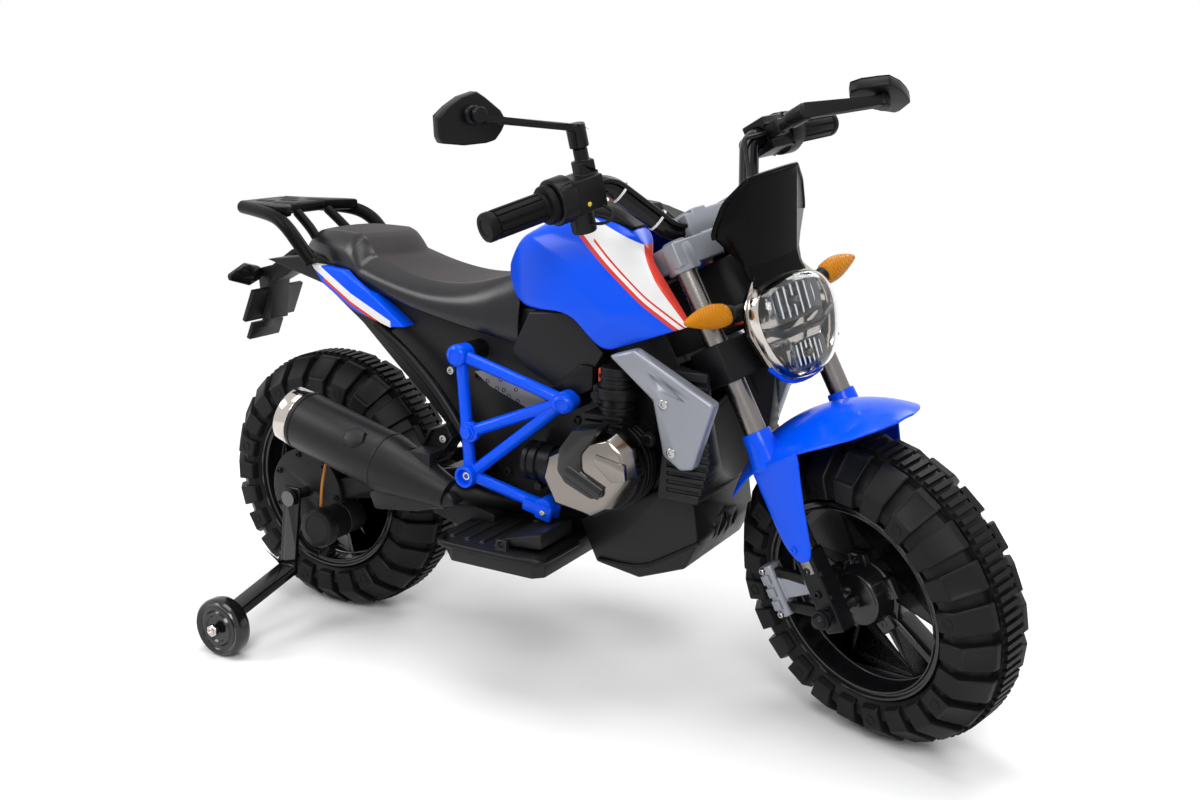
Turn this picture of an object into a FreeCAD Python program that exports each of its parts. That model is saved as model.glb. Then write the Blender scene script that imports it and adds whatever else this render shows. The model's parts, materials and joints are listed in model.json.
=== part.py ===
# Kids electric motorbike, modelled in millimetres.
# +X points forward, +Y to the rider's left and +Z up. The origin lies on the ground, on the centre
# plane, midway between the two axles. The front end stands turned to the right, as it was parked.
import FreeCAD
import Part
import Sketcher
import math
import os

Vec = FreeCAD.Vector
Rot = FreeCAD.Rotation
Place = FreeCAD.Placement

# Driving dimensions. Each moulded piece has its rear end, its lowest point, its length, its height
# and its half width.
SIZES = {
    # stance
    "wheelbase": 725, "rake": 28, "fork_offset": 11, "steer_rest": 22.7, "steer_limit": 28,
    # fits
    "running_fit": 0.05, "seat_gap": 0.5, "sweep_gap": 5,
    # tyres
    "tyre_radius": 170, "tyre_half_width": 52, "lug_depth": 11, "shoulder_drop": 32, "lug_count": 24,
    "lug_slot": 13, "lug_inner": 17, "bead_half_width": 38, "sidewall_in": 5, "shoulder_step": 6,
    "band_step": 2,
    # rims
    "rim_radius": 113, "rim_wall": 11, "hub_radius": 30, "hub_half_width": 34, "web_half_width": 13,
    "spoke_pairs": 5, "hub_flare": 6, "bead_flare": 4, "window_in": 13, "window_out": 3,
    "axle_radius": 6, "axle_nut": 10, "front_axle_half": 88, "rear_axle_half": 112,
    # fork
    "fork_spread": 66.5, "fork_radius": 12, "fork_low": 46, "fork_top": 410, "lug_width": 26,
    "lug_low": -20, "lug_high": 70, "stem_radius": 12,
    "clamp_half_width": 84, "clamp_back": 18, "clamp_front": 28,
    "low_clamp_low": 258, "low_clamp_high": 300, "top_clamp_low": 386, "top_clamp_high": 412,
    "stem_inset": 6, "riser_inset": 4,
    "neck_half_width": 30, "neck_radius": 30, "neck_length": 112, "neck_wall": 8,
    "sweep_radius": 92, "sweep_low": 120, "sweep_high": 418, "riser_sweep": 62, "riser_sweep_high": 500,
    # handlebar, its points along the fork
    "bar_radius": 11, "bar_lead": 5, "bar_height": 424, "bar_flat": 56, "bend_lead": -2,
    "bend_height": 496, "bend_half": 105, "end_lead": -18, "end_height": 491, "end_half": 250,
    "bar_bend": 27, "riser_half": 28, "riser_width": 20, "riser_top": 440,
    # grips and housings, measured along the bar from its bend
    "grip_start": 71, "grip_radius": 15, "grip_end": 4, "flange_radius": 20, "flange_width": 8,
    "housing_start": 15.5, "housing_gap": 1, "ring_radius": 24, "ring_width": 20, "box_width": 34,
    "box_depth": 38, "box_lap": 2, "drop_at": 38, "drop_length": 40, "drop_radius": 13, "socket_at": 24,
    "socket_side": 18, "socket_low": 13, "socket_top": 31,
    # mirrors
    "perch_tilt": 26, "left_perch_fold": 64, "left_arm_swing": 26.6, "perch_radius": 7.5, "perch_top": 44,
    "post_radius": 6, "post_top": 58, "sleeve_radius": 10, "sleeve_top": 68, "arm_reach": 90, "arm_rise": 33,
    "arm_back": 27, "arm_root": 17, "arm_tip": 12, "arm_thickness": 7, "boss_radius": 8,
    "mirror_width": 76, "mirror_height": 51, "mirror_depth": 13, "mirror_lip": 3, "glass_recess": 2,
    # headlight, its rim plane in the fork's frame
    "light_lead": 42, "light_low": 229, "light_lean": 11.6, "light_half_width": 61, "light_height": 121,
    "lens_depth": 32, "lens_wall": 3, "dish_depth": 13, "dish_wall": 2, "bucket_depth": 17,
    "bucket_wall": 3, "light_post": 14, "post_height": 280,
    # windshield
    "screen_lead": 67, "screen_low": 350, "screen_lean": 32, "screen_height": 101,
    "screen_half_width": 69, "screen_bend": 115, "screen_wall": 4, "screen_strut": 6,
    # front signals
    "signal_lead": 50, "signal_height": 321, "signal_start": 78, "signal_length": 52,
    "signal_tall": 30, "signal_deep": 22, "signal_stalk": 6,
    # front fender, curved about a point ahead of the front axle
    "fender_radius": 190, "fender_dome": 34, "fender_wall": 3, "fender_half_width": 82,
    "fender_ahead": 20.8, "fender_above": 12, "fender_front": 46, "fender_back": 21, "fender_aim": 20,
    "fender_reach": 75, "leg_foot": 60, "leg_half": 17, "leg_front": 58, "leg_top": 163, "leg_taper": 24,
    "leg_round": 8,
    # brake caliper
    "caliper_lead": -64, "caliper_low": 6, "caliper_length": 58, "caliper_width": 24, "caliper_depth": 18,
    "caliper_bracket": 4,
    # fuel tank shells
    "tank_x": -64, "tank_z": 404, "tank_length": 242, "tank_height": 154, "tank_half_width": 106,
    "tank_wall": 4, "hollow_sink": 1, "spine_half_width": 27, "cover_depth": 24,
    # seat
    "seat_x": -380, "seat_z": 392, "seat_length": 345, "seat_height": 112, "seat_half_width": 82,
    "seat_wall": 5,
    # body shells
    "shell_x": -425, "shell_z": 188, "shell_length": 621, "shell_height": 320, "shell_half_width": 62,
    "shell_wall": 4,
    # side covers under the tank
    "side_x": -42, "side_z": 352, "side_length": 118, "side_height": 92, "side_half_width": 88,
    # tail panels
    "tail_x": -345, "tail_z": 398, "tail_length": 152, "tail_height": 66, "tail_half_width": 88,
    # luggage rack
    "rack_rear": -489, "rack_front": -382, "rack_top": 528, "rack_rear_half": 42, "rack_front_half": 76,
    "rack_thickness": 13, "rack_tube": 8, "rack_foot_x": -336, "rack_slot": 12, "rack_slot_start": 22,
    "rack_corner": 6, "rack_lip": 18, "rack_arch": 24, "rack_arch_in": 12, "rack_rail_in": 14,
    # plate bracket and rear signals
    "bracket_x": -486, "bracket_z": 372, "bracket_length": 84, "bracket_height": 96,
    "bracket_half_width": 16, "plate_width": 92, "plate_height": 46, "plate_thickness": 4,
    "plate_lean": 24, "tab_width": 56, "tab_height": 24, "tab_gap": 6, "tab_rib": 8,
    "rear_signal_x": -482, "rear_signal_z": 434, "rear_signal_start": 20,
    # trellis frames
    "trellis_y": 100, "trellis_tube": 7, "trellis_boss": 12, "trellis_cap": 8,
    "top_knot_x": -101, "top_knot_z": 383, "front_knot_x": 37, "front_knot_z": 347,
    "mid_knot_x": -87, "mid_knot_z": 296, "low_knot_x": -90, "low_knot_z": 244,
    "toe_knot_x": 12, "toe_knot_z": 222,
    # engine
    "cylinder_x": 90, "cylinder_z": 284, "cylinder_radius": 46, "cylinder_out": 116,
    "intake_x": 96, "intake_y": 92, "intake_radius": 18, "intake_top": 392,
    "elbow_radius": 21, "elbow_x": 6, "elbow_z": 266, "elbow_y": 108, "elbow_ring": 8,
    "collar_drop": 34, "collar_width": 12, "collar_lip": 4,
    "engine_x": 35, "engine_z": 238, "engine_length": 111, "engine_height": 95, "engine_out": 152,
    "insert_depth": 9, "insert_proud": 3, "cover_taper": 0.84,
    # radiator, shrouds and belly pan
    "radiator_x": 148, "radiator_z": 256, "radiator_length": 58, "radiator_height": 140,
    "radiator_half_width": 96, "fin_pitch": 9, "fin_depth": 4, "fin_start": 10,
    "shroud_x": 97, "shroud_z": 296, "shroud_length": 122, "shroud_height": 121, "shroud_half_width": 116,
    "shroud_inner": 97,
    "belly_x": 38, "belly_z": 150, "belly_length": 150, "belly_height": 118, "belly_half_width": 74,
    # footboards and pedal
    "board_x": -94, "board_length": 142, "board_in": 20, "board_out": 170, "board_thickness": 22,
    "board_corner": 26, "rib_count": 4, "rib_height": 3, "rib_width": 6, "rib_start": 14, "rib_pitch": 20,
    "rib_in": 10, "rib_out": 14,
    "pedal_x": -6, "pedal_length": 46, "pedal_in": 90, "pedal_out": 156, "pedal_rise": 17,
    "pedal_lift": 7, "pedal_pin": 3, "pedal_ear": 7, "pin_height": 6, "ear_gap": 1, "ear_cap": 3,
    "wedge_heel": 5, "wedge_low": 3, "wedge_high": 4,
    # exhaust
    "muffler_y": 110, "muffler_radius": 36, "muffler_rear_x": -330, "muffler_rear_z": 277,
    "muffler_front_x": -196, "muffler_front_z": 241, "tip_length": 18, "tip_wall": 3, "tip_depth": 14,
    "pipe_radius": 15, "pipe_collar": 3, "pipe_overlap": 20, "cone_length": 87,
    "pipe_end_x": -58, "pipe_end_z": 209, "hanger_x": -150, "hanger_z": 272, "hanger_thickness": 8,
    "hanger_width": 30, "strap_drop": 10,
    # swingarm and drive
    "pivot_x": -112, "pivot_z": 224, "arm_inner": 60, "arm_outer": 72, "arm_front_height": 36,
    "arm_rear_height": 24, "beam_rear_x": -160, "beam_lap": 2, "beam_drop": 12, "tongue_lap": 4,
    "tongue_in": 8, "tongue_reach": 24, "tongue_drop": 16,
    "gear_module": 2, "gear_teeth": 47, "pinion_teeth": 12, "gear_face": 9, "gear_in": 55,
    "tooth_slack": 1, "gear_boss": 22, "case_in": 49, "case_out": 77, "case_wall": 5, "motor_drop": 28,
    "motor_radius": 21, "motor_end": 120, "motor_cap": 8, "cap_lip": 3, "shaft_radius": 4,
    "shaft_past": 30,
    # training wheels
    "stay_in": 98, "stay_thickness": 6, "stay_width": 26, "stay_knee_z": 72, "stay_out": 198,
    "stay_end_z": 48, "trainer_radius": 36, "trainer_width": 24, "trainer_y": 218, "trainer_x": -376,
    "trainer_pin": 5, "trainer_hub": 15, "trainer_lip": 2, "trainer_flare": 3, "trainer_edge": 8,
    "trainer_shoulder": 5, "pin_head": 8, "pin_past": 7, "pin_gap": 2,
    # inside
    "battery_x": -52, "battery_length": 110, "battery_half_width": 48, "battery_height": 96,
    "control_x": -6, "control_length": 50, "control_half_width": 22,
    "control_height": 46, "button_x": 40, "button_radius": 8, "button_proud": 4,
    "button_travel": 2.5, "button_gap": 0.4,
    # cables
    "cable_radius": 2.5, "cable_lead": 14.2, "slack_bend": 8, "wire_radius": 1.2, "wire_pitch": 4,
}

doc = FreeCAD.newDocument("kids_electric_motorbike")
sheet = doc.addObject("Spreadsheet::Sheet", "sizes")
for row, (alias, value) in enumerate(SIZES.items(), start=1):
    sheet.set("A%d" % row, alias)
    sheet.set("B%d" % row, str(value))
    sheet.setAlias("B%d" % row, alias)
doc.recompute()

UP = Vec(0, 0, 1)
LEFT = Vec(0, 1, 0)
FORWARD = Vec(1, 0, 0)
ACROSS = Rot(Vec(1, 0, 0), 90)
FACING = Rot(Vec(1, 1, 1), 120)
nodes = []


def size(alias):
    return float(sheet.get(alias))


def cell(alias):
    return "sizes." + alias


def plus(alias, gap):
    # A radius and the gap left round it.
    return "sizes.%s + sizes.%s" % (alias, gap)


def bored(alias):
    # The hole that a shaft of this radius runs in.
    return plus(alias, "running_fit")


def node(piece, label, place=None):
    # A finished sub-part: its label names its file.
    piece.Label = label
    if place is not None:
        piece.Placement = place
    nodes.append(piece)
    return piece


def feature(kind, name, **settings):
    piece = doc.addObject(kind, name)
    for key, value in settings.items():
        setattr(piece, key, value)
    return piece


def rod(name, start, end, radius):
    # A round bar between two points; its radius is an expression on the sheet.
    piece = feature("Part::Cylinder", name, Height=start.distanceToPoint(end))
    piece.setExpression("Radius", radius)
    piece.Placement = Place(start, Rot(UP, end - start))
    return piece


def block(name, low, high):
    piece = feature("Part::Box", name, Length=high.x - low.x, Width=high.y - low.y, Height=high.z - low.z)
    piece.Placement = Place(low, Rot())
    return piece


def cut(name, base, *tools):
    tool = tools[0] if len(tools) == 1 else group(name + "_tools", tools)
    return feature("Part::Cut", name, Base=base, Tool=tool)


def fuse(name, *pieces):
    return feature("Part::MultiFuse", name, Shapes=list(pieces), Refine=True)


def common(name, *pieces):
    return feature("Part::MultiCommon", name, Shapes=list(pieces))


def group(name, pieces):
    # Separate solids that share one node or one cut.
    return feature("Part::Compound", name, Links=list(pieces))


def mirror(name, piece):
    return feature("Part::Mirroring", name, Source=piece, Normal=LEFT, Base=Vec(0, 0, 0))


def constrain_outline(sketch, points):
    # Closes the outline and ties every corner to its two expressions.
    spots = [[float(sketch.evalExpression(text)) for text in pair] for pair in points]
    count = len(points)
    for index in range(count):
        start = Vec(*spots[index], 0)
        end = Vec(*spots[(index + 1) % count], 0)
        sketch.addGeometry(Part.LineSegment(start, end))
    for index in range(count):
        sketch.addConstraint(Sketcher.Constraint("Coincident", index, 2, (index + 1) % count, 1))
    for index in range(count):
        for kind, axis in (("DistanceX", 0), ("DistanceY", 1)):
            spot = spots[index][axis]
            held = sketch.addConstraint(Sketcher.Constraint(kind, -1, 1, index, 1, spot))
            sketch.setExpression("Constraints[%d]" % held, points[index][axis])
    return sketch


def outline(name, points, place=Place()):
    sketch = doc.addObject("Sketcher::SketchObject", name)
    sketch.Placement = place
    return constrain_outline(sketch, points)


def body_outline(body, name, role, points):
    sketch = body.newObject("Sketcher::SketchObject", name)
    plane = next(item for item in body.Origin.OriginFeatures if item.Role == role)
    sketch.AttachmentSupport = [(plane, "")]
    sketch.MapMode = "FlatFace"
    doc.recompute()
    return constrain_outline(sketch, points)


def prism(name, points, place, depth):
    # The outline in the plane of place, pushed along that plane's normal; depth is an expression.
    sketch = outline(name + "_outline", points, place)
    piece = feature("Part::Extrusion", name, Base=sketch, DirMode="Normal", Solid=True)
    piece.setExpression("LengthFwd", depth)
    return piece


def shares(pairs, first, last):
    # Turns shares of a piece's own length and height into expressions.
    (x_start, x_span), (y_start, y_span) = first, last
    points = []
    for u, v in pairs:
        points.append(("%s + %s * (%s)" % (x_start, u, x_span), "%s + %s * (%s)" % (y_start, v, y_span)))
    return points


def both_sides(half):
    # A half outline from the bottom to the top, with its mirror image.
    return half + [(-u, v) for u, v in reversed(half) if u != 0]


def moulding(name, piece, side, section=None, plan=None, inset="0", sink="0"):
    # A form whose side view, cross section and plan follow three outlines. inset draws it in by a
    # wall and sink lowers it, which makes the hollow of a shell that is open below.
    x_axis = ("sizes.%s_x + %s" % (piece, inset), "sizes.%s_length - 2 * %s" % (piece, inset))
    z_axis = ("sizes.%s_z - %s" % (piece, sink), "sizes.%s_height - %s + %s" % (piece, inset, sink))
    half = "sizes.%s_half_width - %s" % (piece, inset)
    side_view = Place(Vec(0, size(piece + "_half_width"), 0), ACROSS)
    width = "2 * sizes.%s_half_width" % piece
    forms = [prism(name + "_side", shares(side, x_axis, z_axis), side_view, width)]
    if section:
        front_view = Place(Vec(size(piece + "_x"), 0, 0), FACING)
        points = shares(both_sides(section), ("0", half), z_axis)
        forms.append(prism(name + "_section", points, front_view, "sizes.%s_length" % piece))
    if plan:
        corners = both_sides([(w, u) for u, w in plan])
        points = [(pair[1], pair[0]) for pair in shares(corners, ("0", half), x_axis)]
        below = Place(Vec(0, 0, size(piece + "_z") - size(piece + "_height")), Rot())
        forms.append(prism(name + "_plan", points, below, "3 * sizes.%s_height" % piece))
    if len(forms) == 1:
        return forms[0]
    return common(name, *forms)


def tube(name, points, radius, bend):
    # Straight runs joined by tangent arcs, swept by a circle.
    edges = []
    start = points[0]
    for index in range(1, len(points) - 1):
        here = points[index]
        back = (points[index - 1] - here).normalize()
        ahead = (points[index + 1] - here).normalize()
        turn = math.pi - back.getAngle(ahead)
        reach = bend * math.tan(turn / 2)
        first = here + back * reach
        last = here + ahead * reach
        inward = (back + ahead).normalize()
        centre = here + inward * math.hypot(bend, reach)
        middle = centre - inward * bend
        edges.append(Part.LineSegment(start, first).toShape())
        edges.append(Part.Arc(first, middle, last).toShape())
        start = last
    edges.append(Part.LineSegment(start, points[-1]).toShape())
    path = Part.Wire(edges)
    circle = Part.Circle(points[0], points[1] - points[0], radius).toShape()
    piece = doc.addObject("Part::Feature", name)
    piece.Shape = path.makePipeShell([Part.Wire([circle])], True, True)
    expected = path.Length * math.pi * radius ** 2
    print(name, "tube volume over section times length:", round(piece.Shape.Volume / expected, 4))
    return piece


# Frames of the front end: x forward, z up along the steering axis, origin level with the front axle.
lean = Rot(LEFT, -size("rake"))
front_axle = Vec(size("wheelbase") / 2, 0, size("tyre_radius"))
rear_axle = Vec(-size("wheelbase") / 2, 0, size("tyre_radius"))
fork_foot = front_axle - lean.multVec(Vec(size("fork_offset"), 0, 0))
straight = Place(fork_foot, lean)
steered = straight.multiply(Place(Vec(0, 0, 0), Rot(UP, -size("steer_rest"))))
front_wheel_place = steered.multiply(Place(Vec(size("fork_offset"), 0, 0), Rot()))
rear_wheel_place = Place(rear_axle, Rot())


def steering_sweep():
    # The room that the fork, the handlebar's clamp and the front wheel turn in.
    rooms = []
    low = Vec(0, 0, size("sweep_low"))
    for high, radius in (("sweep_high", "sweep_radius"), ("riser_sweep_high", "riser_sweep")):
        column = rod("fork_room", low, Vec(0, 0, size(high)), cell(radius))
        column.Placement = straight.multiply(column.Placement)
        rooms.append(column)
    half = size("tyre_half_width") + size("sweep_gap")
    lead = size("fork_offset")
    bar = bar_points()
    for step in (-1, -0.5, 0, 0.5, 1):
        turned = straight.multiply(Place(Vec(0, 0, 0), Rot(UP, step * size("steer_limit"))))
        room = rod("wheel_room", Vec(lead, -half, 0), Vec(lead, half, 0), plus("tyre_radius", "sweep_gap"))
        room.Placement = turned.multiply(room.Placement)
        rooms.append(room)
        for first, last in ((bar[1], bar[2]), (bar[3], bar[4])):
            spare = (last - first).normalize() * size("bar_radius")
            room = rod("bar_room", first - spare, last + spare, plus("bar_radius", "sweep_gap"))
            room.Placement = turned.multiply(room.Placement)
            rooms.append(room)
    return rooms


def revolved(name, points):
    # Radius along x, position along the axle as y.
    sketch = outline(name + "_profile", points)
    piece = feature("Part::Revolution", name, Source=sketch, Axis=LEFT, Angle=360, Solid=True)
    piece.Base = Vec(0, 0, 0)
    return piece


def tyre(label, place):
    # Carcass with a raised centre band and a ring of lugs on each shoulder.
    r, w, inner = "sizes.tyre_radius", "sizes.tyre_half_width", "sizes.lug_inner"
    drop, lug = "sizes.shoulder_drop", "sizes.lug_depth"
    wall, step, band_step = "sizes.sidewall_in", "sizes.shoulder_step", "sizes.band_step"
    half = [
        ("sizes.rim_radius", "sizes.bead_half_width"),
        ("sizes.rim_radius + 0.5 * %s" % drop, "%s - %s" % (w, wall)),
        ("%s - %s - %s" % (r, drop, step), "%s - 0.8 * %s" % (w, wall)),
        ("%s - %s" % (r, lug), "%s + %s" % (inner, step)),
        ("%s - %s" % (r, lug), "%s - %s" % (inner, band_step)),
        ("%s - %s" % (r, band_step), "%s - 1.5 * %s" % (inner, band_step)),
        (r, "0.5 * " + inner),
    ]
    carcass = revolved(label + "_carcass", half + [(u, "-(%s)" % v) for u, v in reversed(half)])
    shoulder = [
        ("%s - %s - 4 * %s" % (r, drop, step), "%s - 2 * %s" % (w, step)),
        ("%s - %s - 4 * %s" % (r, drop, wall), w),
        ("%s - %s + %s" % (r, drop, step), w),
        ("%s - 1.5 * %s" % (r, band_step), "%s + 1.5 * %s" % (inner, step)),
        ("%s - 1.5 * %s" % (r, band_step), inner),
        ("%s - %s - %s" % (r, lug, step), inner),
    ]
    band = revolved(label + "_shoulder", shoulder)
    count = int(size("lug_count"))
    slots = []
    for index in range(count):
        slot = feature("Part::Box", label + "_slot")
        slot.setExpression("Length", cell("tyre_radius"))
        slot.setExpression("Width", cell("tyre_half_width"))
        slot.setExpression("Height", cell("lug_slot"))
        angle = 360 * index / count
        start = Vec(size("rim_radius"), size("lug_inner") + size("band_step") / 2, -size("lug_slot") / 2)
        slot.Placement = Place(Vec(0, 0, 0), Rot(LEFT, angle)).multiply(Place(start, Rot()))
        slots.append(slot)
    lugs = cut(label + "_lugs", band, *slots)
    other = mirror(label + "_other_lugs", lugs)
    other.Placement = Place(Vec(0, 0, 0), Rot(LEFT, 180 / count))
    return node(fuse(label, carcass, lugs, other), label, place)


# Windows of one spoke pair: half spread at the hub and at the barrel, and middle, in shares of a pitch.
SPOKE_WINDOWS = (("wide", 0.30, 0.335, 0.5), ("narrow", 0.05, 0.095, 0))


def rim(label, place):
    # Cast wheel: barrel, hub and a web cut into pairs of spokes.
    body = doc.addObject("PartDesign::Body", label)
    hub, inner = "sizes.hub_radius", "sizes.rim_radius - sizes.rim_wall"
    half = [
        (bored("axle_radius"), "sizes.hub_half_width"),
        (hub, "sizes.hub_half_width"),
        (hub + " + sizes.hub_flare", "sizes.web_half_width"),
        (inner, "sizes.web_half_width"),
        (inner + " + sizes.bead_flare", "sizes.bead_half_width"),
        ("sizes.rim_radius", "sizes.bead_half_width"),
    ]
    profile = body_outline(body, "profile", "XY_Plane", half + [(u, "-(%s)" % v) for u, v in reversed(half)])
    turned = body.newObject("PartDesign::Revolution", "cast")
    turned.Profile = profile
    axle_line = next(item for item in body.Origin.OriginFeatures if item.Role == "Y_Axis")
    turned.ReferenceAxis = (axle_line, [""])
    turned.Angle = 360
    doc.recompute()
    pitch = 360 / size("spoke_pairs")
    windows = []
    low, high = "(sizes.hub_radius + sizes.window_in)", "(%s - sizes.window_out)" % inner
    for name, inner_half, outer_half, middle in SPOKE_WINDOWS:
        corners = []
        for reach, spread in ((low, -inner_half), (high, -outer_half), (high, outer_half), (low, inner_half)):
            angle = math.radians((middle + spread) * pitch)
            corners.append(("%.5f * %s" % (math.cos(angle), reach), "%.5f * %s" % (math.sin(angle), reach)))
        sketch = body_outline(body, name + "_window", "XZ_Plane", corners)
        pocket = body.newObject("PartDesign::Pocket", name + "_pocket")
        pocket.Profile = sketch
        pocket.Type = "ThroughAll"
        pocket.Midplane = True
        doc.recompute()
        windows.append(pocket)
    spokes = body.newObject("PartDesign::PolarPattern", "spokes")
    spokes.Originals = windows
    spokes.Axis = (axle_line, [""])
    spokes.Angle = 360
    spokes.setExpression("Occurrences", cell("spoke_pairs"))
    body.Tip = spokes
    return node(body, label, place)


def axle(label, half_length, place):
    # Plain shaft with a round nut on each end.
    half = size(half_length)
    nut = size("axle_nut")
    shaft = rod(label + "_shaft", Vec(0, -half, 0), Vec(0, half, 0), cell("axle_radius"))
    nuts = []
    for side in (-1, 1):
        start = Vec(0, side * (half - 0.6 * nut), 0)
        nuts.append(rod(label + "_nut", start, Vec(0, side * half, 0), cell("axle_nut")))
    return node(fuse(label, shaft, *nuts), label, place)


def plate(name, low, high, low_height, high_height):
    return block(name, Vec(low[0], low[1], low_height), Vec(high[0], high[1], high_height))


def fork_parts():
    offset, spread = size("fork_offset"), size("fork_spread")
    tubes, lugs, holes = [], [], []
    axle_bore = rod("lug_bore", Vec(offset, -2 * spread, 0), Vec(offset, 2 * spread, 0), bored("axle_radius"))
    for side in (-1, 1):
        foot = Vec(offset, side * spread, size("fork_low"))
        top = Vec(offset, side * spread, size("fork_top"))
        tubes.append(rod("fork_tube", foot, top, cell("fork_radius")))
        reach = UP * size("lug_width")
        holes.append(rod("fork_hole", foot - reach, top + reach, bored("fork_radius")))
        half = size("lug_width") / 2
        low = Vec(offset - half, side * spread - half * 0.8, size("lug_low"))
        high = Vec(offset + half, side * spread + half * 0.8, size("lug_high"))
        blank = block("lug_blank", low, high)
        socket = rod("lug_socket", foot, top, bored("fork_radius"))
        lugs.append(cut("lug", blank, axle_bore, socket))
    node(group("fork_tubes", tubes), "fork_tubes", steered)
    node(group("axle_lugs", lugs), "axle_lugs", steered)

    back, front, half = -size("clamp_back"), size("clamp_front"), size("clamp_half_width")
    low, high = size("low_clamp_low"), size("low_clamp_high")
    low_plate = plate("low_plate", (back, -half), (front, half), low, high)
    low_clamp = cut("low_clamp", low_plate, *holes)
    stem_end = Vec(0, 0, size("top_clamp_high") - size("stem_inset"))
    stem = rod("stem", Vec(0, 0, size("low_clamp_high")), stem_end, cell("stem_radius"))
    node(fuse("steering_stem", low_clamp, stem), "steering_stem", steered)

    low, high = size("top_clamp_low"), size("top_clamp_high")
    top_plate = plate("top_plate", (back, -half), (front, half), low, high)
    risers = []
    for side in (-1, 1):
        middle = side * size("riser_half")
        width = size("riser_width") / 2
        inset = size("riser_inset")
        low, high = (back + inset, middle - width), (front - inset, middle + width)
        risers.append(plate("riser", low, high, size("top_clamp_high"), size("riser_top")))
    lead, flat, height = size("bar_lead"), size("bar_flat"), size("bar_height")
    bar_hole = rod("bar_hole", Vec(lead, -flat, height), Vec(lead, flat, height), bored("bar_radius"))
    stem_hole = rod("stem_hole", Vec(0, 0, 0), stem_end, bored("stem_radius"))
    blank = fuse("top_blank", top_plate, *risers)
    node(cut("upper_clamp", blank, bar_hole, stem_hole, *holes), "upper_clamp", steered)
    axle("front_axle", "front_axle_half", front_wheel_place)

    # The dummy caliper hangs behind the right lug on a short bracket.
    width, depth = size("caliper_width") / 2, size("caliper_depth")
    low = Vec(size("caliper_lead"), -spread - width, size("caliper_low"))
    high = Vec(low.x + depth, -spread + width, low.z + size("caliper_length"))
    lug_face = size("fork_offset") - size("lug_width") / 2
    thin = size("caliper_bracket")
    bracket_low = Vec(high.x - thin, -spread - thin, low.z + 0.3 * size("caliper_length"))
    bracket_high = Vec(lug_face, -spread + thin, low.z + 0.7 * size("caliper_length"))
    bracket = block("caliper_bracket", bracket_low, bracket_high)
    body = feature("Part::Chamfer", "caliper_body", Base=block("caliper_blank", low, high))
    body.Edges = [(edge, depth / 4, depth / 4) for edge in (1, 3, 5, 7)]
    node(fuse("brake_caliper", body, bracket), "brake_caliper", steered)
    return top_plate


def bar_points():
    halves = (("end_lead", "end_half", "end_height"), ("bend_lead", "bend_half", "bend_height"))
    right = [Vec(size(lead), -size(half), size(height)) for lead, half, height in halves]
    right.append(Vec(size("bar_lead"), -size("bar_flat"), size("bar_height")))
    return right + [Vec(point.x, -point.y, point.z) for point in reversed(right)]


def grip_place(side):
    # z runs out along the bar from its bend and x forward, so y points up on the right and down on
    # the left.
    bend = Vec(size("bend_lead"), side * size("bend_half"), size("bend_height"))
    end = Vec(size("end_lead"), side * size("end_half"), size("end_height"))
    along = (end - bend).normalize()
    ahead = Vec(along.y, -along.x, 0).normalize() * side
    return Place(bend, Rot(ahead, along.cross(ahead), along, "ZXY"))


def bar_run():
    right = bar_points()
    return right[0].distanceToPoint(right[1])


def grip(label, side):
    place, length = grip_place(side), bar_run()
    start, end = size("grip_start"), size("grip_end")
    sleeve = rod(label + "_sleeve", Vec(0, 0, start), Vec(0, 0, length + end), cell("grip_radius"))
    flange_end = start + size("flange_width")
    flange = rod(label + "_flange", Vec(0, 0, start), Vec(0, 0, flange_end), cell("flange_radius"))
    bore = rod(label + "_bore", Vec(0, 0, 0), Vec(0, 0, length), bored("bar_radius"))
    return node(cut(label, fuse(label + "_blank", sleeve, flange), bore), label, steered.multiply(place))


def perch_turn(side):
    # The housing's own turn about the bar: its mirror post stands up, or is folded forward.
    tilt = size("perch_tilt") + (size("left_perch_fold") if side > 0 else 0)
    return Place(Vec(0, 0, 0), Rot(UP, -tilt if side < 0 else tilt))


def housing(label, side):
    # Ring beside the grip, box with the mirror socket, and a drop below the bar.
    place, length = grip_place(side), bar_run()
    lift = -side
    start, ring, box = size("housing_start"), size("ring_width"), size("box_width") / 2
    end = size("grip_start") - size("housing_gap")
    collar = rod(label + "_ring", Vec(0, 0, end - ring), Vec(0, 0, end), cell("ring_radius"))
    depth = size("box_depth") / 2
    case_end = end - ring + size("box_lap")
    case = block(label + "_box", Vec(-depth, -box, start), Vec(depth, box, case_end))
    middle, half = size("socket_at"), size("socket_side") / 2
    low, top = sorted((lift * size("socket_low"), lift * size("socket_top")))
    socket = block(label + "_socket", Vec(-half, low, middle - half), Vec(half, top, middle + half))
    root = Vec(0, lift * size("socket_low"), middle)
    perch = rod(label + "_perch", root, Vec(0, lift * size("perch_top"), middle), cell("perch_radius"))
    post = rod(label + "_post", root, Vec(0, lift * size("post_top"), middle), cell("post_radius"))
    drop_root = Vec(0, 0, size("drop_at"))
    drop_end = drop_root - Vec(0, lift * size("drop_length"), 0)
    drop = rod(label + "_drop", drop_root, drop_end, cell("drop_radius"))
    bore = rod(label + "_bore", Vec(0, 0, -length), Vec(0, 0, length), bored("bar_radius"))
    blank = fuse(label + "_blank", collar, case, socket, perch, post, drop)
    return node(cut(label, blank, bore), label, steered.multiply(place).multiply(perch_turn(side)))


MIRROR_CORNERS = [
    (-0.13, 0.39), (0.11, 0.38), (0.34, 0.27), (0.50, 0.15), (0.55, -0.22), (0.53, -0.35), (0.22, -0.52),
    (-0.10, -0.61), (-0.24, -0.61), (-0.36, -0.48), (-0.46, -0.32), (-0.41, -0.09), (-0.23, 0.24),
]


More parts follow.
